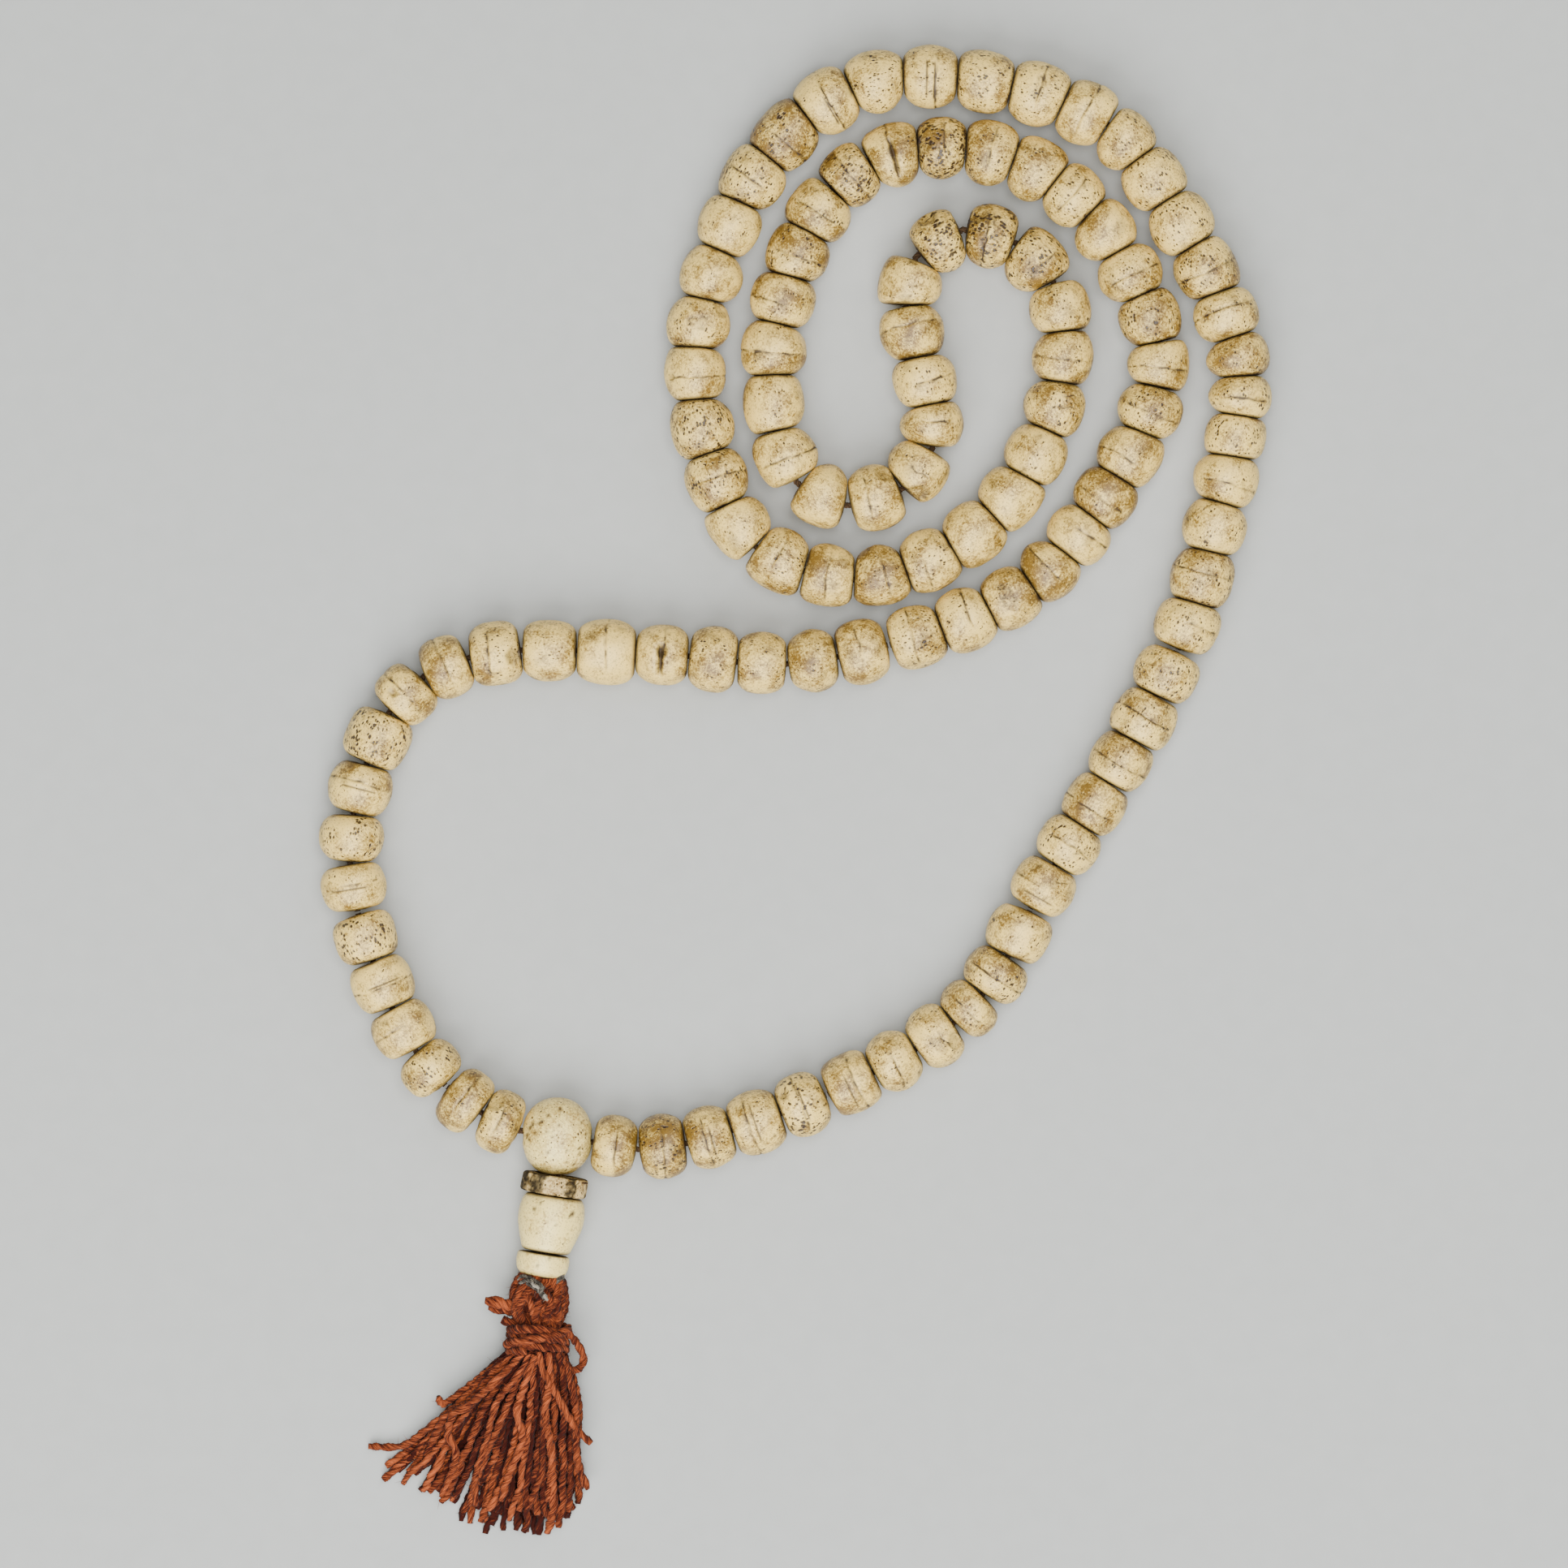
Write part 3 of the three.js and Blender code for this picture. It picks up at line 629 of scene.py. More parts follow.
class Fibres:
    """Points, faces and fibre attributes that build up to one object."""

    def __init__(self):
        self.points, self.faces, self.place, self.depth, self.tone = [], [], [], [], []
        self.count = 0

    def add(self, points, faces, place, depth, tone):
        self.points.append(points.reshape(-1, 3))
        self.faces += [tuple(self.count + i for i in face) for face in faces]
        self.place.append(place.reshape(-1, 3))
        self.depth.append(depth.ravel())
        self.tone.append(tone.ravel())
        self.count += len(self.points[-1])

    def object(self, name):
        attributes = {
            "fibre_place": np.vstack(self.place),
            # the painted shade of each point, from none 0 to full 1
            "fibre_painted_shade": np.clip(np.concatenate(self.depth), 0, 1),
            "fibre_tone": np.concatenate(self.tone),
        }
        return mesh_object(name, np.vstack(self.points), self.faces, attributes)


# For two plies and for three: a ply's own radius, and how far it lies from the middle, as shares of
# the yarn's radius.
PLY_SHARES = {2: (0.76, 0.25), 3: (0.6, 0.42)}


def twist(made, points, radius, turns_per_mm, rng, plies=2, sides=9, spacing=0.3, tone=0.5,
          taper=0.25, neck=1.0, fluff=0.0, shade=0.0):
    """Winds plies of yarn round each other along a curve. Neck is the share of its radius that the
    yarn is squeezed to at its start. Fluff is how many loose fibres stand off each millimetre, with a
    rougher surface under them. Every ply gets painted shade in the grooves between the plies, and
    shade is how much more painted shade darkens the yarn's sides and underneath than its top."""
    line, where = resample(points, spacing)
    tangent, normal, binormal = frames_along(line)
    count = len(line)
    start, shift = rng.uniform(0, 2 * math.pi), rng.uniform(0, 200)
    squeeze = neck + (1 - neck) * step(where, 0, 5)
    thickness = radius * (1 - taper * bump(where[-1] - where, 0.5)) * squeeze
    ply_radius, ply_offset = PLY_SHARES[plies]
    tones = np.interp(where, np.linspace(0, where[-1], np.size(tone)), np.atleast_1d(tone))[:, None]
    uneven = 0.12 * np.sin(where * 0.9 + shift)
    roughness = 0.045 if fluff else 0
    angle = np.arange(sides) * 2 * math.pi / sides
    c, s = np.cos(angle)[None, :, None], np.sin(angle)[None, :, None]
    for ply in range(plies):
        wind = start + 2 * math.pi * (ply / plies + where * turns_per_mm + uneven)
        out = (np.cos(wind)[:, None] * normal + np.sin(wind)[:, None] * binormal)[:, None]
        across = np.cross(tangent, out[:, 0])[:, None]
        facing = c * out + s * across
        lumps = 1 + 0.05 * np.sin(where * 2.3 + ply + shift)[:, None]
        reach = (ply_radius * thickness)[:, None] * (lumps + rng.normal(0, roughness, (count, sides)))
        middle = line[:, None] + out * (ply_offset * thickness)[:, None, None]
        ring = middle + facing * reach[:, :, None]
        faces = circle_faces(count, sides, closed=False)
        faces.append(tuple(reversed(range(sides))))
        faces.append(tuple((count - 1) * sides + i for i in range(sides)))
        turned = [2 * reach * c[:, :, 0], 2 * reach * s[:, :, 0]]
        place = np.stack([where[:, None] + 0 * reach, *turned], axis=-1)
        # painted shade: darker where each ply faces in towards the others, in the grooves between the
        # plies, and by shade on the yarn's sides and underneath
        depth = np.clip(0.12 - 0.75 * c[:, :, 0], 0, 1) ** 1.3
        depth = depth + shade * np.clip(0.45 - facing[:, :, 2], 0, 1)
        made.add(ring, faces, place + shift + 13 * ply, depth, tones + 0 * reach)
        if fluff:
            loose_fibres(made, ring, facing, tones, int(fluff * where[-1] / plies), rng)


HAIR_RADIUS = 0.03


def loose_fibres(made, ring, facing, tones, count, rng):
    """Fine fibres that stand off a ply, each a thin bent spike."""
    i, j = rng.integers(0, ring.shape[0], count), rng.integers(0, ring.shape[1], count)
    root = ring[i, j] - 0.02 * facing[i, j]
    way = facing[i, j] + rng.normal(0, 0.75, (count, 3))
    way /= np.linalg.norm(way, axis=1, keepdims=True)
    length = rng.uniform(0.25, 0.75, (count, 1))
    bend = rng.normal(0, 0.35, (count, 3)) * length
    side = np.cross(way, [0.3, 0.5, 0.8])
    side /= np.linalg.norm(side, axis=1, keepdims=True)
    up = np.cross(way, side)
    rings = []
    for t, width in ((0, 1.0), (0.5, 0.8), (1.0, 0.3)):
        centre = root + way * length * t + bend * t**2
        for turn in (0, 2.09, 4.19):
            out = math.cos(turn) * side + math.sin(turn) * up
            rings.append(centre + HAIR_RADIUS * width * out)
    points = np.stack(rings, axis=1)
    points[:, :, 2] = np.maximum(points[:, :, 2], HAIR_RADIUS)
    one = circle_faces(3, 3, closed=False)
    faces = [tuple(9 * k + index for index in face) for k in range(count) for face in one]
    tone = np.repeat(tones[i] + 0.15, 9, axis=1)
    # a little painted shade on every loose fibre, and a tone a little paler than its ply
    made.add(points, faces, points, np.full((count, 9), 0.1), tone)


CORD_STRETCHES = [
    ("coil_cord", 17.5, 88.5, "coil"),
    ("upper_cord_right", 11.5, 17.5, "loop_upper"),
    ("upper_cord_left", 88.5, 102.5, "loop_upper"),
    ("middle_cord_right", 5.5, 11.5, "loop_middle"),
    ("middle_cord_left", 102.5, 106.5, "loop_middle"),
]
CORD_END_GAP = 0.3


def cord_line(start, end, trim_start=CORD_END_GAP / 2, trim_end=CORD_END_GAP / 2):
    """The cord's line through the joints from one to the other, straight in each bead."""
    joints = np.arange(start, end + 0.5)
    points = [strand_point(j) for j in joints]
    points[0] = points[0] + bead_axis(start + 0.5) * trim_start
    points[-1] = points[-1] - bead_axis(end - 0.5) * trim_end
    line = []
    for a, b in zip(points, points[1:]):
        line += [list(a.lerp(b, t)) for t in (0.04, 0.35, 0.65, 0.96)]
    return np.array([list(points[0]), *line[1:-1], list(points[-1])])


def cord(made, line, rng, radius=CORD_RADIUS, **settings):
    """Three plies of dark cotton along a line."""
    twist(made, line, radius, 0.45, rng, plies=3, sides=7, spacing=0.4, tone=0.4, **settings)


def strand_cords():
    rng = np.random.default_rng(7)
    for name, start, end, body in CORD_STRETCHES:
        made = Fibres()
        cord(made, cord_line(start, end), rng, taper=0)
        finish_piece(made.object(f"twisted_{name}"), body, "cord_fibre", CORD_FIBRE, name)
    left = cord_line(106.5, BEAD_COUNT + 0.5, trim_end=0)
    right = cord_line(0.5, 5.5, trim_start=0)
    made = Fibres()
    cord(made, np.vstack([left, right]), rng, taper=0)
    finish_piece(made.object("twisted_lower_cord"), "loop_lower", "cord_fibre", CORD_FIBRE, "lower_cord")


# ---- Camera, light and table ----

VIEW_WIDTH = 235.7
VIEW_CENTRE = (-1.83, 1.16)
CAMERA_HEIGHT = 1400
SENSOR = 36.0


def camera_and_light():
    data = bpy.data.cameras.new("camera")
    data.sensor_width = SENSOR
    data.lens = SENSOR * (CAMERA_HEIGHT - CORD_HEIGHT) / VIEW_WIDTH
    data.clip_start = 0.01
    data.clip_end = 20
    camera = bpy.data.objects.new("camera", data)
    camera.location = Vector((*VIEW_CENTRE, CAMERA_HEIGHT)) * MM
    bpy.context.scene.collection.objects.link(camera)
    bpy.context.scene.camera = camera
    for name, place, size, power in (
        ("large_softbox", (-160, -620, 760), 800, 20),
        ("fill_softbox", (420, 420, 620), 600, 3),
        ("overhead_softbox", (60, 40, 1250), 600, 17),
    ):
        light = bpy.data.lights.new(name, "AREA")
        light.size = size * MM
        light.energy = power
        lamp = bpy.data.objects.new(name, light)
        lamp.location = Vector(place) * MM
        lamp.rotation_euler = (-lamp.location).to_track_quat("-Z", "Y").to_euler()
        bpy.context.scene.collection.objects.link(lamp)
    world = bpy.data.worlds.new("studio")
    world.use_nodes = True
    world.node_tree.nodes["Background"].inputs[0].default_value = linear("#e9ebec")
    world.node_tree.nodes["Background"].inputs[1].default_value = 0.22
    bpy.context.scene.world = world


TABLE_HALF = 1500
TABLE_GRAINS = 900.0


def table_top():
    """Painted board. The eye sees an even pale grey, with a faint grain of about 3 mm."""
    material, tree = new_material("painted board")
    grain = add(tree, NOISE, {"Scale": TABLE_GRAINS, "Detail": 3.0})
    share = add(tree, RANGE, [grain, 0.3, 0.7])
    links = {"Factor": share, FIRST: "#a2a4a1", SECOND: "#a5a7a4"}
    colour = add(tree, MIX, links, MIXED, data_type="RGBA")
    surface = add(tree, SURFACE, {"Base Color": colour, "Roughness": 0.85})
    add(tree, OUTPUT, {"Surface": surface})
    corners = [(x * TABLE_HALF, y * TABLE_HALF, 0) for x, y in ((-1, -1), (1, -1), (1, 1), (-1, 1))]
    floor = mesh_object("table_top", corners, [(0, 1, 2, 3)])
    floor.data.materials.append(material)


# ---- The stack under the guru bead ----

STACK_BORE_RADIUS = 1.3
STACK_SEGMENTS = 96
PENDANT_AXIS = Vector(next(j["axis"] for j in frame["joints"] if j["name"] == "turn_barrel_bead"))


def stack_place(node, up=PENDANT_AXIS):
    """Where a turned piece of the stack sits: its own axis runs down from the guru bead, and its
    middle is the middle of its CAD solid."""
    low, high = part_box(node)
    return turned_place(-up.normalized(), (low + high) / 2 / MM)


def closed_outline(rows):
    """A smooth outline through rows of (along, out) down the outside, closed by the bore."""
    bore = STACK_BORE_RADIUS
    rows = np.array(rows, float)
    line, _ = resample(np.column_stack([rows, np.zeros(len(rows))]), 0.28)
    side = [(a, r, 1.0) for a, r, _ in line]
    top, bottom = rows[0][0], rows[-1][0]
    middle = (top + bottom) / 2
    start = [(middle, bore, 0), (top + 0.3, bore, 0), (top + 0.02, bore + 0.3, 0.2)]
    end = [(bottom - 0.02, bore + 0.3, 0.2), (bottom - 0.3, bore, 0)]
    return np.array(start + side + end)


def smooth_wear(seed, tone, pits=5, patches=(), oval=0.0, porous=0.25, holes=(), specks=()):
    """Light wear on a smooth piece. Patches are places stained dark, each with its angle from the top
    and its half width as an angle. Oval is how much wider than high the piece is. Holes are where
    cord goes in, each with its place along the axis and its angle, and specks are extra pits, each
    with its place, its angle and its size."""
    rng = np.random.default_rng(seed)
    spots = [[rng.uniform(*limits) for limits in PIT_LIMITS] for _ in range(pits)]
    spots += specks

    def wear(along, angle, out, side, points):
        more = (field(points, 10, rng) * 0.06 + field(points, 3, rng) * 0.012) * side
        more = more + oval * np.abs(np.sin(angle)) * side * out / 5
        shade = tone + 0.08 * field(points, 5, rng)
        stain = 0.06 * np.clip(field(points, 3, rng) - 0.5, 0, 1)
        turn = (angle + math.pi) % (2 * math.pi) - math.pi
        for where, about, size in spots:
            near = bump(np.hypot(along - where, (turn - about) * out), size) * side
            more = more - 0.3 * size * near
            stain = stain + 1.3 * near
        for where, about in holes:
            distance = np.hypot(along - where, (turn - about) * out)
            more = more - 1.6 * step(HOLE_RADIUS - distance, -0.3, 0.25) * side
            stain = stain + step(HOLE_RADIUS + 0.15 - distance, -0.2, 0.3)
        for about, half_width in patches:
            edge = half_width - np.abs(turn - about) + 0.1 * field(points, 1.3, rng)
            stain = stain + step(edge, -0.05, 0.08) * (0.95 + 0.25 * field(points, 0.9, rng))
        return more, np.zeros_like(along), shade, stain, porous + 0.2 * field(points, 3, rng)

    return wear


HOLE_RADIUS = 0.85
# Pits: the place along the axis, the angle from the top, positive to the left, and the size.
PIT_LIMITS = ((-4, 4), (-1.3, 1.3), (0.12, 0.26))
GURU_SPECKS = [
    (-1.9, 0.85, 0.32), (-2.1, 0.6, 0.28), (-1.3, 0.95, 0.34), (-0.6, 0.7, 0.26),
    (-0.2, 1.05, 0.32), (0.5, 0.95, 0.28), (-2.4, 0.5, 0.24), (-4.3, -0.1, 0.26),
    (1.9, -0.35, 0.2), (-0.8, 0.3, 0.2),
]
BARREL_SPECKS = [(-2.0, 0.56, 0.3), (-2.1, -0.69, 0.34), (-1.7, -0.6, 0.22)]

# Smoke-dark places on the spacer disc: the angle from its top, positive to the left, and half the
# width of each as an angle.
DISC_PATCHES = ((0.55, 0.26), (1.25, 0.3), (-0.55, 0.2), (-1.3, 0.1), (2.6, 0.4))


# Outlines as rows of (along, out) from top to foot. The disc's upper face is dished round the foot
# of the guru bead.
DISC_OUTLINE = [
    (-1.15, 2.7), (-1.6, 4.0), (-1.75, 4.45), (-1.65, 4.8), (-1.3, 4.97), (0.7, 4.97), (1.08, 4.8),
    (1.2, 4.3),
]
BARREL_OUTLINE = [
    (-4.25, 3.6), (-4.1, 4.2), (-3.2, 4.7), (-1.6, 4.98), (0.0, 4.9), (1.8, 4.4), (3.2, 3.9),
    (4.0, 3.6), (4.25, 3.2),
]
END_OUTLINE = [
    (-1.75, 3.55), (-1.6, 3.85), (-0.9, 3.98), (0.0, 3.92), (0.9, 3.65), (1.5, 3.1), (1.75, 2.5),
]
GURU_HALF_LENGTH = 5.9
GURU_ROUNDNESS = 2.1
GURU_TILT = math.radians(2)


def stack_piece(node, outline, wear, material, slot, body=None, up=PENDANT_AXIS):
    """One turned piece of the stack, in the place of its CAD solid of the same name."""
    piece = bone_piece(f"bone_{node}", outline, stack_place(node, up), wear, STACK_SEGMENTS)
    finish_piece(piece, body or node, slot, material, node)


def guru_outline():
    """A rounded bead with a closed top, and a bore that goes up from its foot."""
    half = GURU_HALF_LENGTH
    along = half * np.sin(np.linspace(-1.5, 1.25, 60))
    out = 5.0 * (1 - np.abs(along / half) ** GURU_ROUNDNESS) ** (1 / GURU_ROUNDNESS)
    side = [(-half, POLE_RADIUS), *zip(along, out)]
    bore = [(5.5, STACK_BORE_RADIUS), (3.0, STACK_BORE_RADIUS), (3.0, POLE_RADIUS)]
    return np.array([(a, r, 1.0) for a, r in side] + [(a, r, 0.0) for a, r in bore])


def guru_and_stack():
    up = Vector((math.sin(GURU_TILT), math.cos(GURU_TILT), 0))
    holes = ((0.0, 1.57), (0.0, -1.57))
    wear = smooth_wear(21, 0.38, 14, oval=0.3, porous=0.6, holes=holes, specks=GURU_SPECKS)
    stack_piece("guru_bead", guru_outline(), wear, POLISHED_BONE, "pale_bone", "loop_lower", up)
    wear = smooth_wear(22, 0.4, 3, DISC_PATCHES, porous=0.7)
    stack_piece("spacer_disc", closed_outline(DISC_OUTLINE), wear, STAINED_BONE, "stained_bone")
    wear = smooth_wear(23, 0.05, 4, specks=BARREL_SPECKS)
    stack_piece("barrel_bead", closed_outline(BARREL_OUTLINE), wear, POLISHED_BONE, "pale_bone")
    wear = smooth_wear(24, 0.05, 4)
    stack_piece("end_bead", closed_outline(END_OUTLINE), wear, POLISHED_BONE, "pale_bone")


# ---- Tassel: across is to the right of its own line down from the cord's knot, in millimetres ----

TASSEL_TILT = math.radians(-2)
TASSEL_PIVOT = Vector(next(j["pos_m"] for j in frame["joints"] if j["name"] == "tassel_swing")) / MM
YARN_RADIUS = 0.7
NECK_YARN_RADIUS = 0.55
NECK_DOWN = 10.6
NECK_RADIUS = 4.1
NECK_HEIGHT = 4.75
SKIRT_END = 36.5


def tassel_points(rows):
    """Points of the tassel as the table sees them, from rows of (down, across, height)."""
    rows = np.asarray(rows, float)
    c, s = math.cos(TASSEL_TILT), math.sin(TASSEL_TILT)
    x = TASSEL_PIVOT.x + rows[:, 1] * c + rows[:, 0] * s
    y = TASSEL_PIVOT.y + rows[:, 1] * s - rows[:, 0] * c
    return np.stack([x, y, rows[:, 2]], axis=1)


# Single yarns that stray from the skirt, from its neck to their cut ends: (down, across, height).
STRAYS = [
    [(10.6, -3.4, 5.4), (15.5, -7.6, 5.4), (19.8, -12.2, 4.4), (23.6, -16.6, 3.0),
     (25.7, -19.2, 1.8), (26.3, -21.5, 1.2), (26.3, -25.0, 1.0)],
    [(10.6, -2.6, 4.0), (17, -8.0, 3.8), (22.5, -13.0, 2.8), (26, -16.2, 1.8), (28.2, -19.2, 1.1),
     (31.3, -22.6, 0.95)],
    [(10.6, -3.6, 4.6), (14.4, -7.6, 4.6), (17.6, -11.4, 4.1), (19.4, -14.0, 3.5),
     (18.2, -14.6, 3.9)],
    [(10.6, -3.0, 5.8), (14.6, -6.6, 6.2), (18.8, -10.0, 5.8), (21.2, -13.4, 5.0),
     (25.0, -15.2, 3.6), (29.0, -16.6, 2.2)],
    [(10.8, 0.4, 8.6), (13.8, 1.2, 8.9), (17, 3.2, 8.0), (20.3, 5.0, 6.6), (22.6, 6.6, 5.6),
     (24.4, 8.6, 4.8)],
    [(10.6, 3.4, 6.2), (15, 5.2, 6.4), (20, 6.2, 5.6), (25.5, 6.4, 4.6), (29, 7.2, 3.8),
     (31.4, 8.3, 3.1)],
    [(10.6, 3.6, 4.8), (15, 5.6, 4.9), (20, 6.6, 4.2), (25.5, 6.2, 3.0), (29, 6.5, 2.3),
     (31.6, 7.2, 1.6)],
    [(11.0, -1.0, 8.5), (14, -2.4, 8.9), (18, -5.4, 8.0), (21, -6.4, 6.8), (25, -7.2, 5.6),
     (30, -8.6, 4.3), (34.6, -8.4, 3.2)],
    [(11.0, -2.0, 8.2), (15, -5.6, 7.9), (19.4, -10.2, 6.8), (20.6, -12.2, 6.1),
     (23.8, -12.9, 5.2), (27, -11.6, 4.6), (33.5, -13.6, 2.6)],
    [(10.8, 1.8, 8.0), (15, 2.2, 8.3), (20, 1.6, 7.3), (25, 2.6, 5.8), (30, 3.0, 4.6),
     (35, 3.2, 3.2), (38.4, 2.4, 2.0)],
    [(11.2, -0.2, 8.9), (15, -1.4, 9.0), (20, -2.6, 7.6), (24, -1.6, 6.4), (29, -3.4, 5.0),
     (33.6, -4.6, 3.6)],
    [(10.6, -0.6, 3.0), (20, -5.0, 2.6), (30, -8.6, 1.2), (37.4, -9.3, 0.9)],
    [(10.6, 0.4, 3.0), (20, -3.0, 2.4), (30, -6.4, 1.2), (37.2, -7.2, 0.9)],
    [(10.6, 1.0, 3.4), (20, 0.0, 2.6), (30, -0.6, 1.3), (38.4, -0.9, 0.9)],
    [(10.6, -2.6, 3.2), (15, -5.8, 3.0), (20, -9.0, 2.3), (26, -12.0, 1.4), (31, -14.2, 0.9)],
    [(10.6, -1.8, 3.0), (16, -5.4, 2.8), (22, -8.8, 2.0), (28, -10.6, 1.2), (34.2, -12.2, 0.9)],
]
SKIRT_YARNS = 58
STATIONS = 16
SETTLING_STEPS = 70
# How near two yarns may lie, in yarn radii: a little less than 2, because wool gives.
YARN_CLEARANCE = 1.8
# How finely each skirt yarn is meshed, and its loose fibres: sparingly, because there are so many.
SKIRT_YARN_MESH = {"sides": 7, "spacing": 0.38, "fluff": 2.0}


def skirt_width(down, side):
    """How far the skirt's yarns reach at a share of the way down from the neck: further to the left,
    where side is below 0, than to the right."""
    return np.where(side < 0, 17.2 * down**0.78, 4.6 * down**0.55)


def skirt_lines(rng):
    """Lines of the skirt's yarns, packed at the neck and spread out downwards so that they don't run
    through each other. Returns rows of (down, across, height) for each yarn."""
    i = np.arange(SKIRT_YARNS)
    out = NECK_RADIUS * 0.93 * np.sqrt((i + 0.5) / SKIRT_YARNS)
    turn = i * math.pi * (3 - math.sqrt(5))
    across, height = out * np.cos(turn), out * np.sin(turn)
    share = np.linspace(0, 1, STATIONS)
    fan = across / NECK_RADIUS
    side = fan + rng.normal(0, 0.1, SKIRT_YARNS)
    reach = np.abs(side)[:, None] ** 0.8 * skirt_width(share[None, :], side[:, None])
    u = across[:, None] + np.sign(side)[:, None] * reach - 2.1 * share[None, :] ** 1.1
    swing, start, pace = (
        rng.uniform(low, high, (SKIRT_YARNS, 1)) for low, high in ((0.4, 1.5), (0, 6.3), (4, 13))
    )
    u = u + swing * np.sin(start + share * pace) * share
    z = NECK_HEIGHT * (1 - 0.6 * share) + height[:, None] * (1 - 0.62 * share**0.8)
    z = z + rng.normal(0, 0.25, (SKIRT_YARNS, 1)) * share
    radius = NECK_YARN_RADIUS + (YARN_RADIUS - NECK_YARN_RADIUS) * step(share, 0, 0.25)
    others = (1 - np.eye(SKIRT_YARNS))[:, :, None]
    for _ in range(SETTLING_STEPS):
        du, dz = u[:, None] - u[None, :], z[:, None] - z[None, :]
        distance = np.sqrt(du**2 + dz**2) + 1e-6
        need = np.clip(YARN_CLEARANCE * radius - distance, 0, None) * others
        u = u + 0.3 * (du / distance * need).sum(1)
        z = z + 0.3 * (dz / distance * need).sum(1) - 0.02 * share
        z = np.maximum(z, radius * 1.02)
        u[:, 1:-1] = 0.8 * u[:, 1:-1] + 0.1 * (u[:, 2:] + u[:, :-2])
        z[:, 1:-1] = 0.8 * z[:, 1:-1] + 0.1 * (z[:, 2:] + z[:, :-2])
    u = u + rng.normal(0, 0.13, u.shape) * step(share, 0, 0.2)
    lines = []
    for k in range(SKIRT_YARNS):
        end = u[k, -1]
        length = SKIRT_END - NECK_DOWN - 0.022 * (end + 2.5) ** 2 + rng.normal(0, 1.4)
        bow = 1 + 0.06 * np.sin(share * math.pi)
        lines.append(np.stack([NECK_DOWN + length * share * bow / bow[-1], u[k], z[k]], axis=1))
    return lines


def yarn(made, rows, rng, radius=YARN_RADIUS, **settings):
    """One rust yarn of the tassel, along rows of (down, across, height)."""
    settings = {"fluff": 3.0, "shade": 0.85, "turns_per_mm": rng.uniform(0.22, 0.34), **settings}
    twist(made, tassel_points(rows), radius, rng=rng, **settings)


def tassel_skirt():
    rng = np.random.default_rng(31)
    made = Fibres()
    lines = skirt_lines(rng)
    middle = np.array([line[:, 1:] for line in lines])
    for k, line in enumerate(lines):
        # painted shade: a yarn that lies under nearby yarns is darker by how far below their top it lies;
        # every yarn is also paler towards its cut end
        near = np.abs(middle[:, :, 0] - middle[k, :, 0]) < 1.3
        roof = np.where(near, middle[:, :, 1], 0).max(axis=0)
        painted_shade_under_others = np.clip((roof - middle[k, :, 1]) / 2.0, 0, 1)
        tone = 0.26 + 0.14 * np.linspace(-1, 1, STATIONS) - 0.85 * painted_shade_under_others + rng.normal(0, 0.17)
        radius = YARN_RADIUS * rng.uniform(0.74, 1.0)
        yarn(made, line, rng, radius, tone=tone, neck=NECK_YARN_RADIUS / YARN_RADIUS, **SKIRT_YARN_MESH)
    for line in STRAYS:
        radius = YARN_RADIUS * rng.uniform(0.82, 1.04)
        yarn(made, line, rng, radius, tone=rng.uniform(0.3, 0.58), neck=0.8, **SKIRT_YARN_MESH)
    finish_piece(made.object("plied_tassel_skirt"), "tassel", "rust_yarn", RUST_YARN, "tassel_skirt")


HEAD_YARNS = 22
HEAD_RADIUS = 4.0
HEAD_MIDDLE = 3.1
HEAD_HALF_LENGTH = 4.0
HEAD_HEIGHT = 4.62


def tassel_head():
    """Yarns that come out of the knot, run down round the head and into the binding, over a core."""
    rng = np.random.default_rng(32)
    made = Fibres()
    for k in range(HEAD_YARNS):
        turn = 2 * math.pi * (k + rng.uniform(-0.25, 0.25)) / HEAD_YARNS
        swirl, sway, phase = rng.uniform(-0.3, 0.3), rng.uniform(0.05, 0.16), rng.uniform(0, 6)
        bulge = rng.uniform(0.96, 1.04)
        rows = []
        for t in np.linspace(-1.3, 1.15, 17):
            out = HEAD_RADIUS * bulge * math.cos(t * 0.95) ** 0.6
            at = turn + swirl * t + sway * math.sin(4 * t + phase)
            down = HEAD_MIDDLE + HEAD_HALF_LENGTH * math.sin(t)
            rows.append((down, out * math.sin(at), HEAD_HEIGHT + out * math.cos(at) * 0.93))
        look = {"tone": 0.24 + rng.normal(0, 0.16, 9), "shade": 0.6, "fluff": 11.0}
        yarn(made, rows, rng, YARN_RADIUS * 0.95, turns_per_mm=0.42, taper=0, **look)
    core = [(down, 0.0, HEAD_HEIGHT) for down in (-0.2, 1.5, 4.5)]
    core += [(8.5, 0.0, 4.7), (12.5, -0.4, 4.7)]
    twist(made, tassel_points(core), 3.5, 0.05, rng, sides=20, spacing=0.6, tone=0.2, taper=0.4)
    finish_piece(made.object("plied_tassel_head"), "tassel", "rust_yarn", RUST_YARN, "tassel_head")


WRAPS = 3.6
WRAP_PITCH = 1.12
WRAP_START = 7.2
WRAP_RADIUS = 4.1
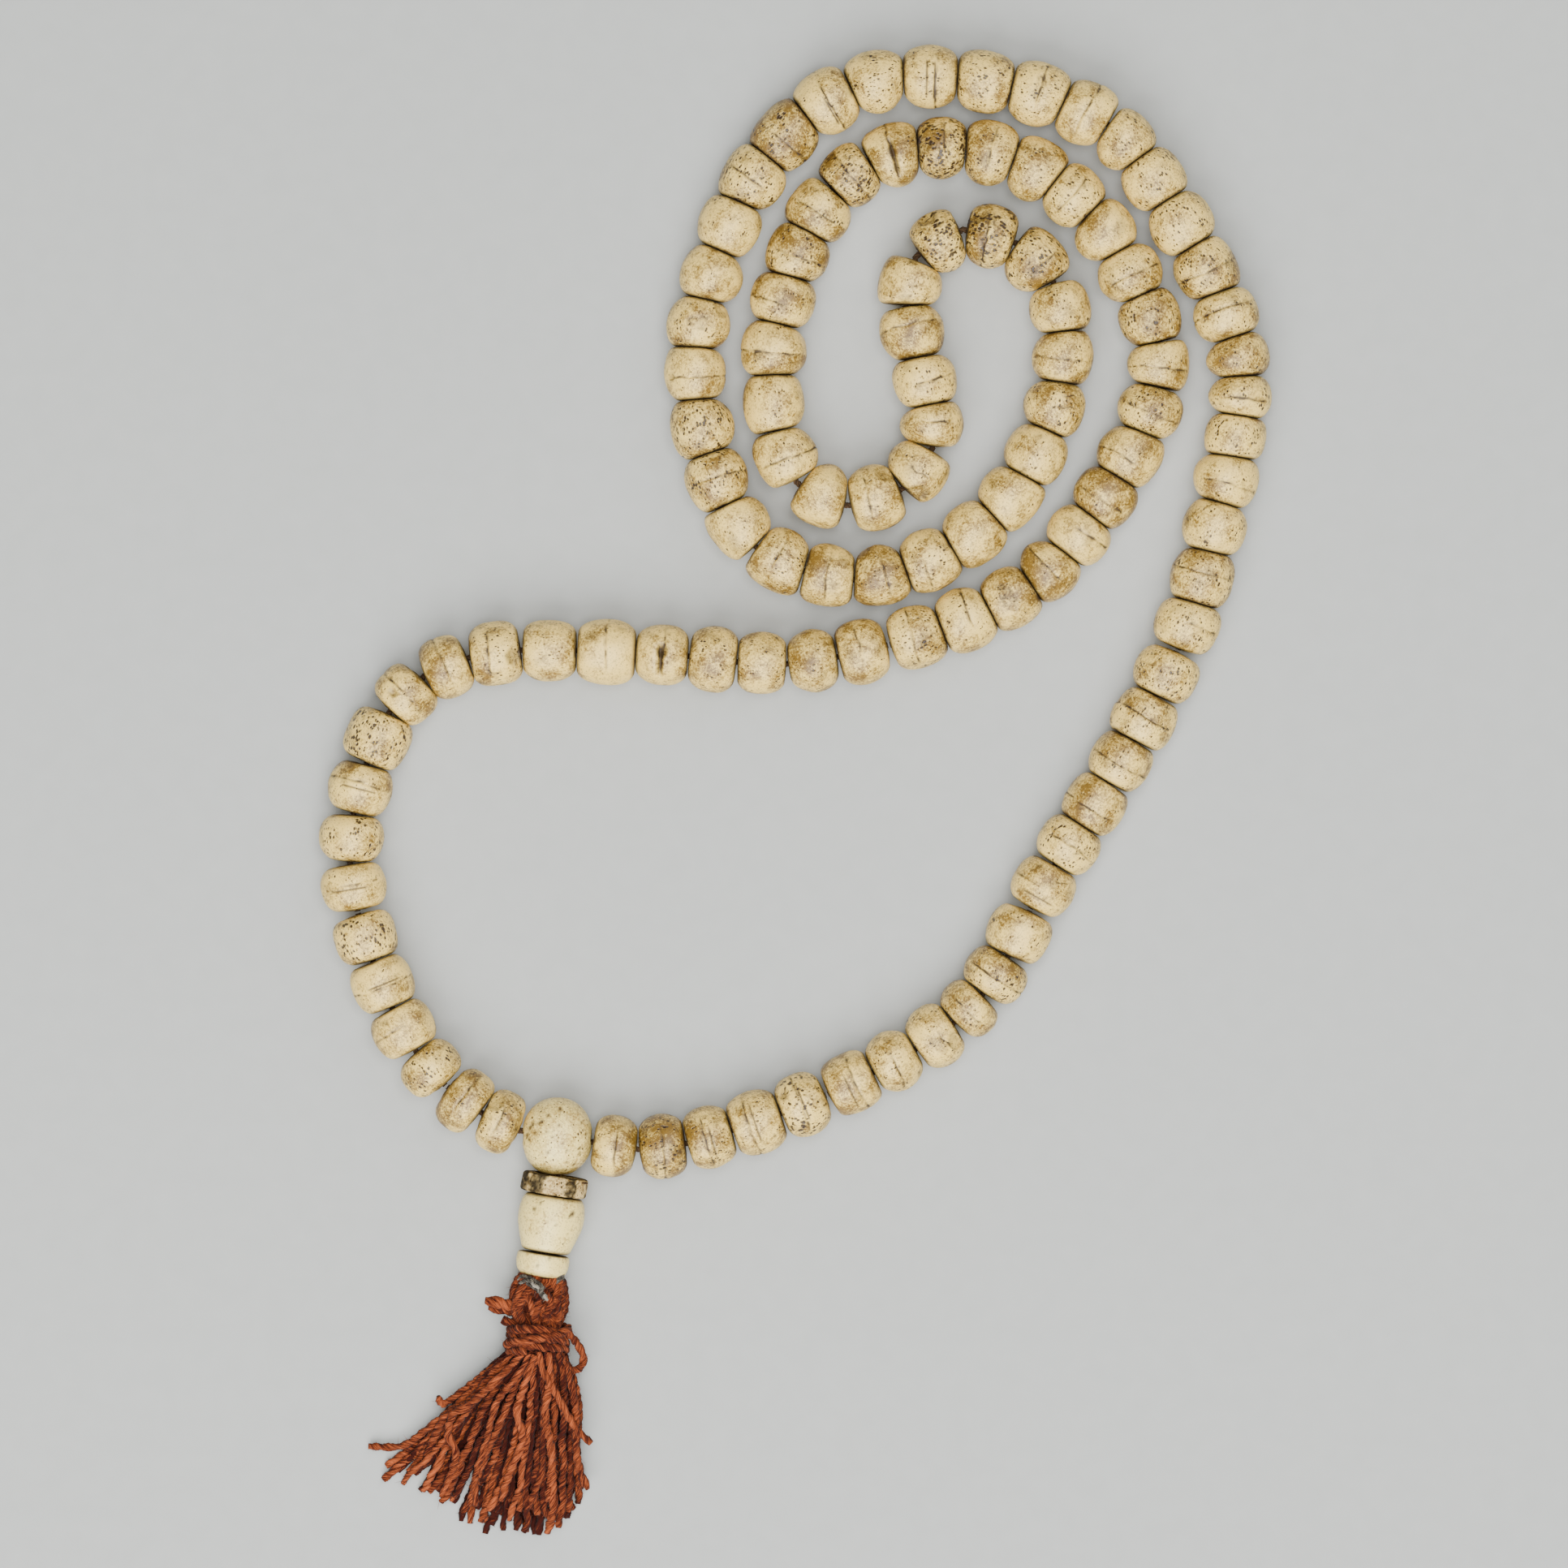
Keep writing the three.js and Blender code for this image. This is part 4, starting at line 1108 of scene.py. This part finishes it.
# The binding's side loop, and its blunt ends with the radius and the tone of each.
SIDE_LOOP = [
    (7.6, 3.2, 7.2), (8.0, 4.6, 6.2), (9.4, 5.9, 5.4), (11.2, 6.9, 4.8), (12.6, 6.9, 4.6),
    (13.5, 6.0, 4.9), (13.4, 4.8, 5.6), (12.3, 3.4, 6.6),
]
STUBS = [
    ([(4.3, -2.2, 5.6), (4.0, -4.4, 5.7), (3.7, -6.2, 5.6), (3.5, -8.0, 5.4)], 0.95, 0.42),
    ([(5.0, -2.4, 4.6), (4.9, -4.4, 4.8), (4.7, -6.0, 4.7), (4.5, -7.5, 4.6)], 0.85, 0.25),
    ([(6.6, -2.8, 5.4), (6.6, -4.4, 5.6), (6.2, -5.4, 5.6)], 0.8, 0.12),
]


def tassel_binding():
    """Turns of the same yarn round the neck, its side loop, and blunt ends on the left."""
    rng = np.random.default_rng(33)
    made = Fibres()
    rows = []
    for turn in np.linspace(-0.3, WRAPS * 2 * math.pi, 110):
        sway = 0.38 * math.sin(turn + 0.8) + 0.15 * math.sin(2.7 * turn)
        down = WRAP_START + WRAP_PITCH * turn / (2 * math.pi) + sway
        out = WRAP_RADIUS + 0.2 * math.sin(1.7 * turn + 1.2)
        height = NECK_HEIGHT + out * math.cos(turn + 2.2) * 0.94
        rows.append((down, out * math.sin(turn + 2.2), height))
    yarn(made, rows, rng, 0.78, tone=0.2, taper=0, shade=0.65)
    crossing = [
        (8.7 - 0.94 * turn, 4.6 * math.sin(turn), 4.8 + 4.4 * math.cos(turn))
        for turn in np.linspace(-1.5, 1.7, 24)
    ]
    yarn(made, crossing, rng, 0.72, tone=0.3, shade=0.6)
    yarn(made, SIDE_LOOP, rng, 0.66, tone=0.3)
    for stub, radius, tone in STUBS:
        yarn(made, stub, rng, radius, tone=tone)
    finish_piece(made.object("plied_tassel_binding"), "tassel", "rust_yarn", RUST_YARN, "tassel_binding")


# Threads of the knot over the head, as rows of (down, across, height), each with its tone from dark
# 0 to pale 1.
KNOT_THREADS = [
    ([(0.2, -3.1, 6.6), (-0.5, -2.6, 7.3), (-0.3, -1.6, 7.9), (0.4, -0.6, 8.5), (0.6, 0.4, 8.7)], 0.22),
    ([(0.6, -2.9, 7.6), (0.1, -2.0, 8.4), (0.3, -1.0, 9.0), (1.1, 0.0, 9.3), (2.1, 0.7, 9.4),
      (2.8, 0.9, 9.3)], 0.1),
    ([(-0.4, -1.5, 8.0), (0.2, -0.3, 8.8), (1.0, 0.6, 9.3), (2.0, 0.4, 9.5), (2.6, 0.8, 9.4)], 0.0),
    ([(0.0, -1.2, 8.6), (0.7, -0.7, 9.3), (0.9, -0.2, 9.55), (1.2, 0.1, 9.6)], 1.0),
    ([(2.0, 0.9, 9.6), (2.5, 1.1, 9.65), (2.9, 1.4, 9.3)], 0.95),
    ([(0.5, -1.8, 8.5), (1.2, -0.4, 9.2), (1.7, 0.1, 9.4), (2.4, 1.3, 9.3)], 0.0),
    ([(0.5, 2.5, 7.2), (-0.4, 3.0, 6.9), (-0.9, 3.4, 6.3), (0.1, 3.6, 6.0)], 0.25),
    ([(0.4, 2.8, 6.7), (-0.6, 3.3, 6.4), (-1.0, 3.1, 5.6)], 0.1),
    ([(-0.9, -1.7, 6.3), (-0.7, 0.0, 6.9), (-0.8, 1.8, 6.3), (-0.7, 2.2, 4.6), (-0.8, 1.2, 3.0),
      (-0.7, -1.0, 2.9), (-0.8, -2.2, 4.4), (-0.7, -1.8, 6.1)], 0.15),
]


def cord_knot():
    """Grey and white thread knotted over the head, with its loose end draped down the front."""
    rng = np.random.default_rng(34)
    made = Fibres()
    mesh = {"plies": 3, "sides": 7, "spacing": 0.16, "fluff": 5.0}
    for rows, tone in KNOT_THREADS:
        twist(made, tassel_points(rows), 0.3, 0.6, rng, tone=tone, **mesh)
    finish_piece(made.object("grey_thread_knot"), "tassel", "knot_thread", KNOT_THREAD, "cord_knot")


def pendant_cords():
    """The strand's two ends, side by side down the stack, with a thin loose end by the guru bead."""
    rng = np.random.default_rng(35)
    low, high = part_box("pendant_cord")
    middle = (low + high) / 2 / MM
    up = PENDANT_AXIS.normalized()
    reach = ((high - low).length / MM - 1.5) / 2
    across = up.cross(Vector((0, 0, 1)))
    made = Fibres()
    for side in (-0.36, 0.36):
        line = [list(middle + up * (reach * t) + across * side) for t in np.linspace(1, -1, 9)]
        cord(made, line, rng, 0.4)
    top = middle + up * (reach - 1.1)
    loose_end = [(0.3, 0.0, 3.2), (2.0, -0.05, 3.4), (3.6, -0.15, 3.0), (4.9, -0.1, 2.2)]
    line = [
        list(top + across * side + up * rise + Vector((0, 0, lift)))
        for side, rise, lift in loose_end
    ]
    twist(made, line, 0.2, 0.9, rng, sides=6, spacing=0.2, tone=0.2)
    finish_piece(made.object("twisted_pendant_cords"), "pendant", "cord_fibre", CORD_FIBRE, "pendant_cord")


camera_and_light()
CORD_FIBRE = yarn_material("twisted cotton cord", "#5b4630", "#352415", "#120903", 3.0)
RUST_YARN = yarn_material("plied rust yarn", "#a2502a", "#320d06", "#0a0100", 2.6)
KNOT_THREAD = yarn_material("grey knotted thread", "#989082", "#2a2621", "#0c0a08", 4.0)
TURNED_BONE = bone_material("turned bone", "#eecc70", "#76581b", "#221003", 0.36)
POLISHED_BONE = bone_material("polished bone", "#f2da86", "#a5853f", "#3a220a", 0.3)
STAINED_BONE = bone_material("smoke stained bone", "#cfb47a", "#7a5c28", "#060301", 0.5, 0.12)
strand_cords()
for bead_number in range(1, BEAD_COUNT + 1):
    counting_bead(bead_number)
guru_and_stack()
pendant_cords()
cord_knot()
tassel_head()
tassel_binding()
tassel_skirt()
table_top()
